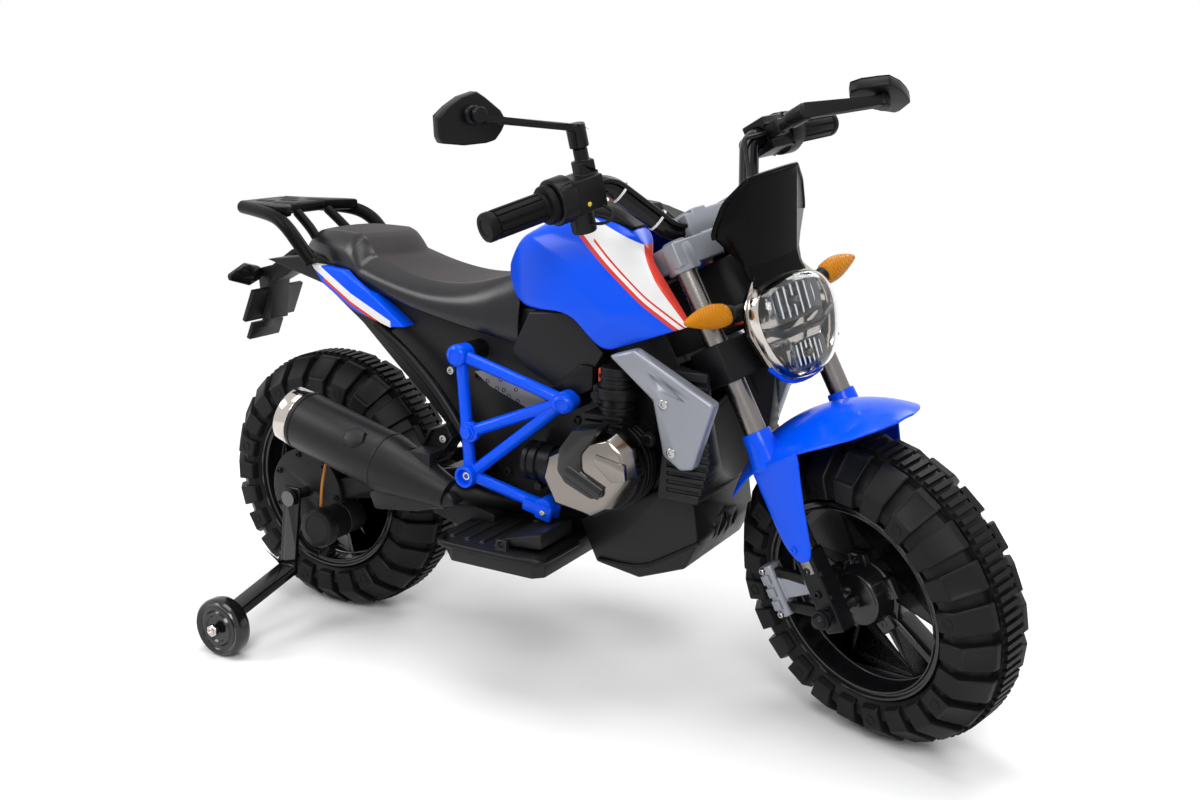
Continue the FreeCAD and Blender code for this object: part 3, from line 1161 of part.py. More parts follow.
def exhaust():
    y = -size("muffler_y")
    rear = Vec(size("muffler_rear_x"), y, size("muffler_rear_z"))
    front = Vec(size("muffler_front_x"), y, size("muffler_front_z"))
    along = (rear - front).normalize()
    neck = front - along * size("cone_length")
    port = Vec(size("pipe_end_x"), -size("shell_half_width"), size("pipe_end_z"))
    can = rod("muffler_can", front, rear, cell("muffler_radius"))
    cone = feature("Part::Cone", "muffler_cone")
    cone.setExpression("Height", cell("cone_length"))
    cone.setExpression("Radius1", cell("muffler_radius"))
    cone.setExpression("Radius2", "sizes.pipe_radius + sizes.pipe_collar")
    cone.Placement = Place(front, Rot(UP, neck - front))
    inside = neck + (front - neck).normalize() * size("pipe_overlap")
    pipe = rod("exhaust_pipe", inside, port + (port - inside) * 0.3, cell("pipe_radius"))
    thick, wide = size("hanger_thickness"), size("hanger_width") / 2
    x, z = size("hanger_x"), size("hanger_z")
    side, foot = -size("shell_half_width"), front.z - size("strap_drop")
    low, high = z - wide, z - wide + thick
    hanger = block("muffler_hanger", Vec(x - wide, y, low), Vec(x + wide, side, high))
    strap = block("muffler_strap", Vec(x - wide, y - thick, foot), Vec(x + wide, y + thick, high))
    reach = size("wheelbase")
    core = block("exhaust_core", Vec(-reach, side, 0), Vec(reach, reach, reach))
    node(cut("muffler", fuse("muffler_blank", can, cone, pipe, hanger, strap), core), "muffler")
    end = rear + along * size("tip_length")
    ring = rod("tip_ring", rear, end, cell("muffler_radius"))
    floor = end - along * size("tip_depth")
    mouth = rod("tip_mouth", floor, end + along, "sizes.muffler_radius - sizes.tip_wall")
    node(cut("muffler_tip", ring, mouth), "muffler_tip")


def gear_face(teeth, slack):
    # Straight sided teeth on the pitch circle, thinner than their gaps by the slack.
    module = size("gear_module")
    pitch = module * teeth / 2
    root, tip = pitch - 1.25 * module, pitch + 0.8 * module
    thick = math.pi * module / 2 - slack
    points = []
    for index in range(teeth):
        middle = 2 * math.pi * index / teeth
        for radius, half in ((root, 0.68 * thick), (tip, 0.22 * thick)):
            points.append((radius, middle - half / radius))
        for radius, half in ((tip, 0.22 * thick), (root, 0.68 * thick)):
            points.append((radius, middle + half / radius))
    corners = [Vec(radius * math.cos(angle), 0, radius * math.sin(angle)) for radius, angle in points]
    return Part.Face(Part.makePolygon(corners + corners[:1]))


def motor_spot():
    # The motor hangs ahead of the rear axle, one centre distance away and a set drop below it.
    centres = size("gear_module") * (size("gear_teeth") + size("pinion_teeth")) / 2
    drop = size("motor_drop")
    return rear_axle + Vec(math.sqrt(centres ** 2 - drop ** 2), 0, -drop)


def drive():
    teeth, small = int(size("gear_teeth")), int(size("pinion_teeth"))
    slack, face, inner = size("tooth_slack"), size("gear_face"), size("gear_in")
    motor_at = motor_spot()
    toward = motor_at - rear_axle
    mesh = -math.degrees(math.atan2(toward.z, toward.x))
    depth = Vec(0, -face, 0)
    wheel = doc.addObject("Part::Feature", "gear_disc")
    wheel.Shape = gear_face(teeth, slack).extrude(depth)
    wheel.Placement = Place(Vec(0, -inner, 0), Rot(LEFT, mesh))
    boss = rod("gear_boss", Vec(0, -size("hub_half_width"), 0), Vec(0, -inner, 0), cell("gear_boss"))
    bore = rod("gear_bore", Vec(0, -reach_out(), 0), Vec(0, 0, 0), bored("axle_radius"))
    node(cut("final_gear", fuse("gear_blank", wheel, boss), bore), "final_gear", rear_wheel_place)

    pinion = doc.addObject("Part::Feature", "pinion_disc")
    pinion.Shape = gear_face(small, slack).extrude(depth)
    pinion.Placement = Place(Vec(0, -inner, 0), Rot(LEFT, mesh + 180 + 180 / small))
    end = size("case_out") + size("shaft_past")
    shaft = rod("pinion_shaft", Vec(0, -inner, 0), Vec(0, -end, 0), cell("shaft_radius"))
    node(fuse("motor_pinion", pinion, shaft), "motor_pinion", Place(motor_at, Rot()))

    # The case is open towards the wheel and closed outside, with the motor flanged on.
    module, wall = size("gear_module"), size("case_wall")
    case_in, case_out = size("case_in"), size("case_out")
    parts = {}
    walls = (("case", wall, case_in, case_out), ("cavity", 0, case_in - wall, case_out - wall))
    for name, grow, start, stop in walls:
        shapes = []
        for spot, count in ((rear_axle, teeth), (motor_at, small)):
            radius = module * count / 2 + 2 * module + grow
            disc = feature("Part::Cylinder", name + "_disc", Radius=radius, Height=stop - start)
            disc.Placement = Place(spot + Vec(0, -start, 0), Rot(UP, Vec(0, -1, 0)))
            shapes.append(disc)
        parts[name] = fuse(name, *shapes)
    axle_end = rear_axle - LEFT * reach_out()
    axle_bore = rod("case_axle_bore", rear_axle, axle_end, bored("axle_radius"))
    shaft_end = motor_at - LEFT * (end + 2 * size("seat_gap"))
    shaft_bore = rod("case_shaft_bore", motor_at, shaft_end, bored("shaft_radius"))
    node(cut("gearbox_case", parts["case"], parts["cavity"], axle_bore, shaft_bore), "gearbox_case")
    can_end = motor_at - LEFT * size("motor_end")
    can = rod("motor_can", motor_at - LEFT * case_out, can_end, cell("motor_radius"))
    cap = rod("motor_cap", can_end + LEFT * size("motor_cap"), can_end, plus("motor_radius", "cap_lip"))
    node(cut("drive_motor", fuse("motor_blank", can, cap), shaft_bore), "drive_motor")
    return parts["case"]


def reach_out():
    return 2 * size("rear_axle_half")


def swingarm(case, shell):
    # Two arms from the pivot to the rear axle, joined by a beam ahead of the tyre.
    arms = []
    inner, outer = size("arm_inner"), size("arm_outer")
    front, rear = size("arm_front_height") / 2, size("arm_rear_height") / 2
    points = [
        ("sizes.pivot_x", "sizes.pivot_z - %s" % front),
        ("sizes.pivot_x", "sizes.pivot_z + %s" % front),
        ("-sizes.wheelbase / 2", "sizes.tyre_radius + %s" % rear),
        ("-sizes.wheelbase / 2 - %s" % rear, "sizes.tyre_radius"),
        ("-sizes.wheelbase / 2", "sizes.tyre_radius - %s" % rear),
    ]
    for start in (-inner, outer):
        upright = Place(Vec(0, start, 0), ACROSS)
        arms.append(prism("arm", points, upright, "sizes.arm_outer - sizes.arm_inner"))
    x, z, lap = size("pivot_x"), size("pivot_z"), size("tongue_lap")
    half = inner + size("beam_lap")
    beam_high = Vec(x, half, z + front - size("beam_drop"))
    beam = block("arm_beam", Vec(size("beam_rear_x"), -half, z - front), beam_high)
    axle_reach = LEFT * reach_out()
    bore = rod("arm_bore", rear_axle - axle_reach, rear_axle + axle_reach, bored("axle_radius"))
    half = size("shell_half_width") - size("tongue_in")
    tongue_high = Vec(x + size("tongue_reach"), half, z + front - size("tongue_drop"))
    tongue = block("arm_tongue", Vec(x - lap, -half, z - front + lap), tongue_high)
    return cut("swingarm", fuse("swing_blank", *arms, beam, tongue), bore, case, shell)


def trainers():
    # Bent steel stays that carry a small wheel on each side.
    thick, wide = size("stay_thickness"), size("stay_width") / 2
    inner, out = size("stay_in"), size("stay_out")
    knee_z, end_z = size("stay_knee_z"), size("stay_end_z")
    x = size("trainer_x")
    spot = Vec(x, -size("trainer_y"), size("trainer_radius"))
    points = [
        ("-sizes.wheelbase / 2 + %s" % wide, "sizes.tyre_radius + %s" % wide),
        ("-sizes.wheelbase / 2 - %s" % wide, "sizes.tyre_radius + %s" % wide),
        ("sizes.trainer_x - %s" % wide, "sizes.stay_knee_z"),
        ("sizes.trainer_x + %s" % wide, "sizes.stay_knee_z"),
    ]
    upright = prism("stay_upright", points, Place(Vec(0, -inner, 0), ACROSS), cell("stay_thickness"))
    run = [
        (-inner, knee_z), (-inner - thick, knee_z + thick), (-out, end_z + thick), (-out - thick, end_z),
        (-out, end_z - thick), (-inner, knee_z - thick),
    ]
    corners = [("%s" % y, "%s" % z) for y, z in run]
    lower = outline("stay_run_outline", corners, Place(Vec(x - wide, 0, 0), FACING))
    arm = feature("Part::Extrusion", "stay_run", Base=lower, DirMode="Normal", Solid=True)
    arm.setExpression("LengthFwd", cell("stay_width"))
    drop = block("stay_drop", Vec(x - wide, -out - thick, spot.z - wide), Vec(x + wide, -out, end_z + thick))
    far = -size("trainer_y") - size("trainer_width") / 2
    pin_end = Vec(x, far - size("pin_past"), spot.z)
    pin = rod("stay_pin", Vec(x, -out, spot.z), pin_end, cell("trainer_pin"))
    head = rod("stay_head", Vec(x, far - size("pin_gap"), spot.z), pin_end, cell("pin_head"))
    bore = rod("stay_bore", rear_axle - LEFT * reach_out(), rear_axle, bored("axle_radius"))
    paired("training_stays", cut("training_stay", fuse("stay_blank", upright, arm, drop, pin, head), bore))
    for name, side in (("right", -1), ("left", 1)):
        half = "(sizes.trainer_width / 2)"
        profile = [
            (bored("trainer_pin"), half),
            ("sizes.trainer_hub", half),
            ("sizes.trainer_hub + sizes.trainer_flare", half + " - sizes.trainer_lip"),
            ("sizes.trainer_radius - sizes.trainer_edge", half + " - sizes.trainer_lip"),
            ("sizes.trainer_radius - sizes.trainer_shoulder", half),
            ("sizes.trainer_radius - sizes.trainer_lip", half + " - 0.5 * sizes.trainer_lip"),
            ("sizes.trainer_radius", half + " - sizes.trainer_shoulder"),
        ]
        wheel = revolved("trainer_" + name, profile + [(u, "-(%s)" % v) for u, v in reversed(profile)])
        node(wheel, "training_wheel_" + name, Place(Vec(x, side * size("trainer_y"), spot.z), Rot()))


def inner_parts():
    low = size("shell_z") + size("shell_wall")
    half = size("battery_half_width")
    start = Vec(size("battery_x"), -half, low)
    high = start + Vec(size("battery_length"), 2 * half, size("battery_height"))
    node(block("battery", start, high), "battery")
    half = size("control_half_width")
    start = Vec(size("control_x"), -half, size("shell_z") + SHELL_SHELF * size("shell_height"))
    high = start + Vec(size("control_length"), 2 * half, size("control_height"))
    node(block("control_box", start, high), "control_box")


def write_parts():
    # Every object must be sound before any file is written.
    doc.recompute()
    for item in doc.Objects:
        if "Invalid" in item.State or "Error" in item.State:
            raise RuntimeError("%s failed: %s" % (item.Name, item.State))
    for piece in nodes:
        shape = piece.Shape
        if shape.isNull() or not shape.isValid() or not shape.Solids:
            raise RuntimeError("%s has no sound solid" % piece.Label)
    os.makedirs("parts", exist_ok=True)
    for piece in nodes:
        piece.Shape.exportStep("parts/%s.step" % piece.Label)
    print(len(nodes), "sub-parts written")


tyre("front_tyre", front_wheel_place)
rim("front_rim", front_wheel_place)
tyre("rear_tyre", rear_wheel_place)
rim("rear_rim", rear_wheel_place)
top_plate = fork_parts()
node(tube("handlebar", bar_points(), size("bar_radius"), size("bar_bend")), "handlebar", steered)
grip("throttle_grip", -1)
grip("left_grip", 1)
housing("throttle_housing", -1)
housing("left_housing", 1)
mirror_parts("right", -1)
mirror_parts("left", 1)
bucket_room = headlight()
windshield(top_plate)
front_signals(bucket_room)
fender()
cables(bucket_room)
rooms = steering_sweep()
shell_solid = body_shells(rooms)
tank_solid = tank(rooms, shell_solid)
seat_solid = seat(shell_solid, tank_solid)
frame = trellis()
side_covers(tank_solid, seat_solid, frame)
tail_pair = tail(seat_solid)
node(rack(tail_pair, shell_solid), "luggage_rack")
rear_bracket(shell_solid)
engine()
radiator_solid = radiator(shell_solid, rooms)
shrouds(tank_solid)
belly(shell_solid, radiator_solid, rooms)
boards = [footboard("right_board", -1, pedal()), footboard("left_board", 1, None)]
node(group("footboards", boards), "footboards")
exhaust()
case_solid = drive()
node(swingarm(case_solid, shell_solid), "swingarm")
axle("rear_axle", "rear_axle_half", rear_wheel_place)
trainers()
inner_parts()
write_parts()
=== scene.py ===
import json
import math

import bmesh
import bpy
from mathutils import Matrix, Vector
from mathutils.bvhtree import BVHTree


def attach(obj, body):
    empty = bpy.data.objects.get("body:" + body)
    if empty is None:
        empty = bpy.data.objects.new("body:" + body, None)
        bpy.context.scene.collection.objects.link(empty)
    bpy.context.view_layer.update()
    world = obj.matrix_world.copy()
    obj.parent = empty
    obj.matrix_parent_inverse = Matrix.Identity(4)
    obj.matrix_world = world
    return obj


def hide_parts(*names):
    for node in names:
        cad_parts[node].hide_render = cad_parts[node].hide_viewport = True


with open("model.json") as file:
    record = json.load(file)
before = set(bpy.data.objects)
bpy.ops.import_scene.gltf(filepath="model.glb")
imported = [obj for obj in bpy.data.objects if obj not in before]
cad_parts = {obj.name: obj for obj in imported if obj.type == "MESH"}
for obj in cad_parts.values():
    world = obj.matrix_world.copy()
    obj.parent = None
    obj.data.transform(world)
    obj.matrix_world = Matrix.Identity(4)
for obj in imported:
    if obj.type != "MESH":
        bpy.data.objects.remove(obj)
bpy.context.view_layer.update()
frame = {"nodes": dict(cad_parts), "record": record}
nodes = frame["nodes"]
nodeBody = {node: body for body, members in frame["record"]["behaviour"]["bodies"].items() for node in members}
mm = 0.001
toUp, toRight, toLeft, toBack = (0, 0, 1), (0, -1, 0), (0, 1, 0), (-1, 0, 0)
print("frame loaded,", len(nodes), "nodes")


def moved(x, y, z):
    return Matrix.Translation(Vector((x, y, z)) * mm)


def turned(axis, degrees):
    return Matrix.Rotation(math.radians(degrees), 4, axis)


def turns(axis, count):
    # a full circle in equal steps
    return [turned(axis, 360 * index / count) for index in range(count)]


# the front end's own frame: x forward, y left, z up the fork, turned as it was parked
frontEnd = {"foot": (352.788, 0, 164.836), "rake": 28, "turn": 22.7, "offset": 11, "spread": 66.5}
rearWheel = {"centre": (-362.5, 0, 170)}
steered = moved(*frontEnd["foot"]) @ turned("Y", -frontEnd["rake"]) @ turned("Z", -frontEnd["turn"])
frontHub = steered @ moved(frontEnd["offset"], 0, 0)
rearHub = moved(*rearWheel["centre"])


class Wire:
    # a shader socket that takes part in sums
    def __init__(self, tree, socket=None):
        self.tree = tree
        self.socket = socket

    def feed(self, node, sockets):
        for key, value in sockets.items():
            if isinstance(value, Wire):
                self.tree.links.new(value.socket, node.inputs[key])
            else:
                node.inputs[key].default_value = value

    def make(self, kind, settings, sockets, out=0):
        made = self.tree.nodes.new("ShaderNode" + kind)
        for key, value in settings.items():
            setattr(made, key, value)
        self.feed(made, sockets)
        return Wire(self.tree, made.outputs[out])

    def beside(self, out):
        # another output of the same node
        return Wire(self.tree, self.socket.node.outputs[out])

    def sum(self, operation, first, second):
        return self.make("Math", {"operation": operation}, {0: first, 1: second})

    def __add__(self, other):
        return self.sum("ADD", self, other)

    def __radd__(self, other):
        return self.sum("ADD", other, self)

    def __sub__(self, other):
        return self.sum("SUBTRACT", self, other)

    def __rsub__(self, other):
        return self.sum("SUBTRACT", other, self)

    def __mul__(self, other):
        return self.sum("MULTIPLY", self, other)

    def __rmul__(self, other):
        return self.sum("MULTIPLY", other, self)

    def __gt__(self, other):
        return self.sum("GREATER_THAN", self, other)

    def __lt__(self, other):
        return self.sum("LESS_THAN", self, other)

    def blend(self, first, second):
        # self is the share of the second colour
        return self.make("Mix", {"data_type": "RGBA"}, {0: self, 6: first, 7: second}, 2)


def rgba(colour):
    return (*colour, 1.0)


finishForm = {"clouds": {"Detail": 5.0}, "smudges": {"Detail": 7.0, "Roughness": 0.65}, "grains": {"Detail": 2.0},
              "bumpDepth": 0.001, "coatRough": 0.04}


def surface(name, colour, rough, shade=0.75, cloud=22, spread=0.14, smudge=16, grain=900, bump=0.05, metal=0.0,
            coat=0.0, gloss=0.22, extra=None, stripes=(), pattern=None):
    # moulded or painted finish: clouded colour, uneven gloss and a fine grain
    material = bpy.data.materials.new(name)
    material.use_nodes = True
    shader = material.node_tree.nodes["Principled BSDF"]
    wire = Wire(material.node_tree)
    spot = wire.make("TexCoord", {}, {}, "Object")
    clouds, smudges, grains = [
        wire.make("TexNoise", {}, {"Vector": spot, "Scale": scale, **finishForm[layer]})
        for layer, scale in (("clouds", cloud), ("smudges", smudge), ("grains", grain))]
    tint = clouds.blend(rgba([part * shade for part in colour]), rgba(colour))
    for line, low, high, paint, reach in stripes:
        tint = stripeMask(wire, spot, line, low, high, reach).blend(tint, rgba(paint))
    height = grains if pattern is None else pattern(wire, spot, grains)
    relief = wire.make("Bump", {}, {"Strength": bump, "Distance": finishForm["bumpDepth"], "Height": height}, "Normal")
    wire.feed(shader, {"Base Color": tint, "Roughness": rough + spread * (smudges - 0.5), "Normal": relief,
                       "Metallic": metal, "Coat Weight": coat, "Coat Roughness": finishForm["coatRough"],
                       "Specular IOR Level": gloss})
    wire.feed(shader, extra or {})
    return material


def stripeMask(wire, spot, line, low, high, reach):
    # a band beside a line on the side view, between two distances from it, in millimetres
    x = wire.make("SeparateXYZ", {}, {"Vector": spot}, "X")
    z = x.beside("Z")
    (x0, z0), (x1, z1) = line
    run, rise = x1 - x0, z1 - z0
    length = math.hypot(run, rise)
    across = (x * (-rise / length / mm) + z * (run / length / mm)) - (z0 * run - x0 * rise) / length
    return (across > low) * (across < high) * (x > reach[0] * mm) * (x < reach[1] * mm)


def ribPattern(scale, turn=(0.6, 0.5, 0.3), grainShare=0.1):
    # fine ridges pressed into a lens
    def pattern(wire, spot, grains):
        slant = wire.make("Mapping", {}, {"Vector": spot, "Rotation": turn})
        ridges = wire.make("TexWave", {"wave_type": "BANDS"}, {"Vector": slant, "Scale": scale, "Distortion": 0.0})
        return ridges + grains * grainShare
    return pattern


leatherForm = {"scale": 620.0, "cells": 2.0, "grains": 0.5}


def leatherPattern(wire, spot, grains):
    cells = wire.make("TexVoronoi", {"feature": "DISTANCE_TO_EDGE"}, {"Vector": spot, "Scale": leatherForm["scale"]})
    return cells * leatherForm["cells"] + grains * leatherForm["grains"]


blue, white, red = (0.0, 0.075, 0.78), (0.72, 0.72, 0.72), (0.58, 0.045, 0.03)
paintLook = {"shade": 0.92, "cloud": 6, "spread": 0.1, "coat": 0.05, "gloss": 0.15, "grain": 300, "bump": 0.006}
# stripes: a line on the side view, from and to beside it, colour, reach along the part
flankLine, noseLine, crownLine = ((46, 522), (165, 437)), ((128, 519), (179, 454)), ((40, 548), (128, 519))
tailLine = ((-336, 468), (-218, 410))
tankStripes = [
    (flankLine, 0, 400, white, (20, 300)), (flankLine, -1, 3, red, (20, 300)), (flankLine, 7, 9, red, (60, 300)),
    (noseLine, -9, -5, red, (90, 300)), (noseLine, -5, 60, blue, (90, 300)), (crownLine, -3, 60, blue, (-100, 140)),
]
tailStripes = [(tailLine, -9, 0, white, (-350, -212)), (tailLine, -12.5, -9, red, (-318, -204))]
tyreRubber = surface("tyreRubber", (0.006, 0.006, 0.0065), 0.5, cloud=9, spread=0.25, grain=500, bump=0.16, gloss=0.15)
wheelBlack = surface("wheelBlack", (0.006, 0.006, 0.007), 0.18, spread=0.16, grain=1200, bump=0.03, gloss=0.5)
bodyBlack = surface("bodyBlack", (0.008, 0.008, 0.009), 0.4, spread=0.18, grain=1500, bump=0.14)
glossBlack = surface("glossBlack", (0.004, 0.004, 0.005), 0.14, spread=0.1, bump=0.01, gloss=0.2)
switchBlack = surface("switchBlack", (0.005, 0.005, 0.006), 0.36, spread=0.2, grain=1700, bump=0.12, gloss=0.16)
gripRubber = surface("gripRubber", (0.004, 0.004, 0.004), 0.5, spread=0.2, grain=1400, bump=0.2, gloss=0.1)
rackBlack = surface("rackBlack", (0.004, 0.003, 0.003), 0.34, spread=0.2, grain=1500, bump=0.1, gloss=0.05)
screenBlack = surface("screenBlack", (0.002, 0.002, 0.0025), 0.2, spread=0.1, bump=0.01, gloss=0.07)
hookBlack = surface("hookBlack", (0.005, 0.005, 0.006), 0.2, spread=0.12, grain=1200, bump=0.03, gloss=0.4)
bluePaint = surface("bluePaint", blue, 0.2, **paintLook)
tankPaint = surface("tankPaint", blue, 0.2, stripes=tankStripes, **paintLook)
tailPaint = surface("tailPaint", blue, 0.2, stripes=tailStripes, **paintLook)
silverPaint = surface("silverPaint", (0.26, 0.27, 0.305), 0.36, shade=0.9, spread=0.1, metal=0.4, grain=2600, bump=0.03)
forkSteel = surface("forkSteel", (0.22, 0.205, 0.195), 0.26, shade=0.8, metal=1.0, spread=0.2, smudge=40, bump=0.02)
chromePlate = surface("chromePlate", (0.56, 0.52, 0.48), 0.1, shade=0.9, metal=1.0, spread=0.08, bump=0.006)
# engine covers: the same chrome as chromePlate with its base colour lowered, painted shade standing in for the dark
# surroundings they reflect
coverChromeShadedCopy = surface("coverChromeShadedCopy", (0.25, 0.225, 0.205), 0.15, shade=0.75, metal=1.0, spread=0.12, bump=0.01)
darkSteel = surface("darkSteel", (0.14, 0.14, 0.145), 0.34, metal=1.0, spread=0.2, bump=0.05)
boltSteel = surface("boltSteel", (0.45, 0.45, 0.45), 0.25, metal=1.0, spread=0.15, bump=0.03)
# seat top: grain and matte finish are its own; its lighter, warm brown-grey tone is partly painted warm light falling
# on the top
seatTop = surface("seatTop", (0.043, 0.038, 0.039), 0.66, spread=0.12, bump=0.2, gloss=0.15, pattern=leatherPattern)
seatSide = surface("seatSide", (0.009, 0.009, 0.011), 0.26, spread=0.14, grain=1500, bump=0.05, gloss=0.36)
greyPlate = surface("greyPlate", (0.25, 0.25, 0.26), 0.45, spread=0.2, metal=0.3, bump=0.08)
lensClear = surface("lensClear", (0.95, 0.96, 0.97), 0.05, shade=0.98, spread=0.05, bump=0.004, gloss=0.5,
                    extra={"Transmission Weight": 1.0, "IOR": 1.35})
amberLens = surface("amberLens", (0.70, 0.25, 0.002), 0.2, shade=0.5, spread=0.1, bump=0.5, gloss=0.1,
                    pattern=ribPattern(170), extra={"Transmission Weight": 0.1, "IOR": 1.45})
smokedLens = surface("smokedLens", (0.006, 0.006, 0.006), 0.25, spread=0.15, bump=0.3, pattern=ribPattern(95))
mirrorGlass = surface("mirrorGlass", (0.70, 0.72, 0.74), 0.03, shade=0.97, metal=1.0, spread=0.03, bump=0.002)
tieWhite = surface("tieWhite", (0.70, 0.70, 0.69), 0.45, shade=0.92)
wireRed = surface("wireRed", (0.50, 0.02, 0.012), 0.42)
wireYellow = surface("wireYellow", (0.62, 0.36, 0.02), 0.42)
wireOrange = surface("wireOrange", (0.40, 0.15, 0.022), 0.5)
redPlastic = surface("redPlastic", (0.60, 0.05, 0.01), 0.35)
ledYellow = surface("ledYellow", (0.70, 0.50, 0.05), 0.25)
nylonWhite = surface("nylonWhite", (0.55, 0.54, 0.50), 0.5)
print("finishes made")


def addPiece(name, bm, materials, node, stands=False, place=None, sharp=35, levels=0, wall=0.0):
    # rides on the node's body in its slot, and may stand for it
    if place:
        bmesh.ops.transform(bm, matrix=place, verts=bm.verts)
    mesh = bpy.data.meshes.new(name)
    bm.to_mesh(mesh)
    bm.free()
    for material in materials if isinstance(materials, list) else [materials]:
        mesh.materials.append(material)
    mesh.shade_smooth()
    mesh.set_sharp_from_angle(angle=math.radians(sharp))
    piece = bpy.data.objects.new(name, mesh)
    bpy.context.scene.collection.objects.link(piece)
    if wall:
        thick = piece.modifiers.new("wall", "SOLIDIFY")
        thick.thickness = wall * mm
        thick.offset = -1.0
    if levels:
        smooth = piece.modifiers.new("smooth", "SUBSURF")
        smooth.levels = levels
        smooth.render_levels = levels
    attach(piece, nodeBody[node])
    if stands:
        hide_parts(node)


def roundEdges(bm, edges, width, steps, clamp=True, slide=False):
    bmesh.ops.bevel(bm, geom=edges, offset=width * mm, offset_type="OFFSET", affect="EDGES", segments=steps,
                    profile=0.5, material=-1, clamp_overlap=clamp, loop_slide=slide)


def softEdges(bm, faces, width, steps=2, sharp=0.4):
    edges = {edge for face in faces for edge in face.edges}
    roundEdges(bm, [edge for edge in edges if edge.calc_face_angle(0.0) > sharp], width, steps)


def outward(bm):
    bmesh.ops.recalc_face_normals(bm, faces=bm.faces[:])


def newFaces(bm, before):
    return [face for face in bm.faces if face not in before]


def extruded(bm, face):
    # the corners of the face's copy, still in place
    grown = bmesh.ops.extrude_face_region(bm, geom=[face], use_keep_orig=True)
    return [item for item in grown["geom"] if isinstance(item, bmesh.types.BMVert)]


def chain(bm, spots, closed=False):
    verts = [bm.verts.new(spot) for spot in spots]
    ends = verts[1:] + verts[:1] if closed else verts[1:]
    return [bm.edges.new(pair) for pair in zip(verts, ends)]


def loft(bm, rows, closed=False):
    # rows of points, each joined to the next
    chains = [chain(bm, row, closed) for row in rows]
    for first, last in zip(chains, chains[1:]):
        bmesh.ops.bridge_loops(bm, edges=first + last)
    return chains


def islandOf(faces):
    # the faces and all that are joined to them
    grown = set(faces)
    edge = grown
    while edge:
        edge = {near for face in edge for side in face.edges for near in side.link_faces} - grown
        grown = grown | edge
    return grown


def spun(bm, profile, place=Matrix(), steps=48, closed=False, axis=toUp):
    # (radius, height) points turned about an axis of place
    up = Vector(axis)
    edges = chain(bm, [Vector((radius * mm, 0, 0)) + up * (height * mm) for radius, height in profile], closed)
    verts = list(dict.fromkeys(vert for edge in edges for vert in edge.verts))
    bmesh.ops.spin(bm, geom=verts + edges, axis=up, cent=(0, 0, 0), dvec=(0, 0, 0), angle=2 * math.pi, steps=steps,
                   use_merge=True, use_duplicate=False)
    grown = islandOf({face for edge in edges for face in edge.link_faces})
    bmesh.ops.remove_doubles(bm, verts=list({vert for face in grown for vert in face.verts}), dist=0.000005)
    grown = [face for face in grown if face.is_valid]
    bmesh.ops.recalc_face_normals(bm, faces=grown)
    bmesh.ops.transform(bm, matrix=place, verts=list({vert for face in grown for vert in face.verts}))


def aimed(spot, axis, base=Matrix()):
    # a frame at a spot in millimetres, with its z along the axis
    return base @ moved(*spot) @ Vector(axis).to_track_quat("Z", "Y").to_matrix().to_4x4()


def spunAt(bm, profile, spot, axis, steps=48, closed=False, stretch=(1, 1)):
    spun(bm, profile, aimed(spot, axis) @ Matrix.Diagonal((*stretch, 1, 1)), steps, closed)


# a socket head, as shares of its radius and height: a rim with a sunk centre
boltForm = {"profile": [(1, 0), (1, 0.75), (0.85, 1), (0.5, 1), (0.5, 0.35), (0, 0.35)], "steps": 16}


def bolt(bm, spot, axis, radius, height, base=Matrix()):
    profile = [(out * radius, up * height) for out, up in boltForm["profile"]]
    spun(bm, profile, aimed(spot, axis, base), boltForm["steps"])


# a raised band round a shaft: how far its root sinks in and how its edges are cut
bandForm = {"root": 2, "cut": 0.5, "steps": 36}


def ringBand(bm, spot, axis, radius, height, tall, proud):
    root, outer, cut, top = radius - bandForm["root"], radius + proud, bandForm["cut"], height + tall
    profile = [(root, height), (outer - cut, height), (outer, height + cut), (outer, top - cut), (outer - cut, top),
               (root, top)]
    spunAt(bm, profile, spot, axis, bandForm["steps"], True)


def rodBetween(bm, start, end, radius, segments=20):
    run = Vector(end) - Vector(start)
    bmesh.ops.create_cone(bm, cap_ends=True, segments=segments, radius1=radius * mm, radius2=radius * mm,
                          depth=run.length * mm, matrix=aimed(Vector(start) + run / 2, run))


def hexNut(bm, spot, axis, low, high, tall, soft, stretch=(1, 1)):
    made = bmesh.ops.create_cone(bm, cap_ends=True, segments=6, radius1=low * mm, radius2=high * mm, depth=tall * mm,
                                 matrix=aimed(spot, axis) @ Matrix.Diagonal((*stretch, 1, 1)))
    softEdges(bm, list({face for vert in made["verts"] for face in vert.link_faces}), soft)


def block(bm, low, high, soft=0.0, place=Matrix()):
    middle = [(a + b) / 2 for a, b in zip(low, high)]
    spans = [(b - a) * mm for a, b in zip(low, high)]
    made = bmesh.ops.create_cube(bm, size=1.0, matrix=place @ moved(*middle) @ Matrix.Diagonal((*spans, 1)))
    if soft:
        roundEdges(bm, list({edge for vert in made["verts"] for edge in vert.link_edges}), soft, 2)


def eased(path, rounds=2, cut=0.25):
    # corners cut, so that a run of straight lines bends
    for _ in range(rounds):
        spots = [path[0]]
        for first, last in zip(path, path[1:]):
            spots += [first.lerp(last, cut), first.lerp(last, 1 - cut)]
        path = spots + [path[-1]]
    return path


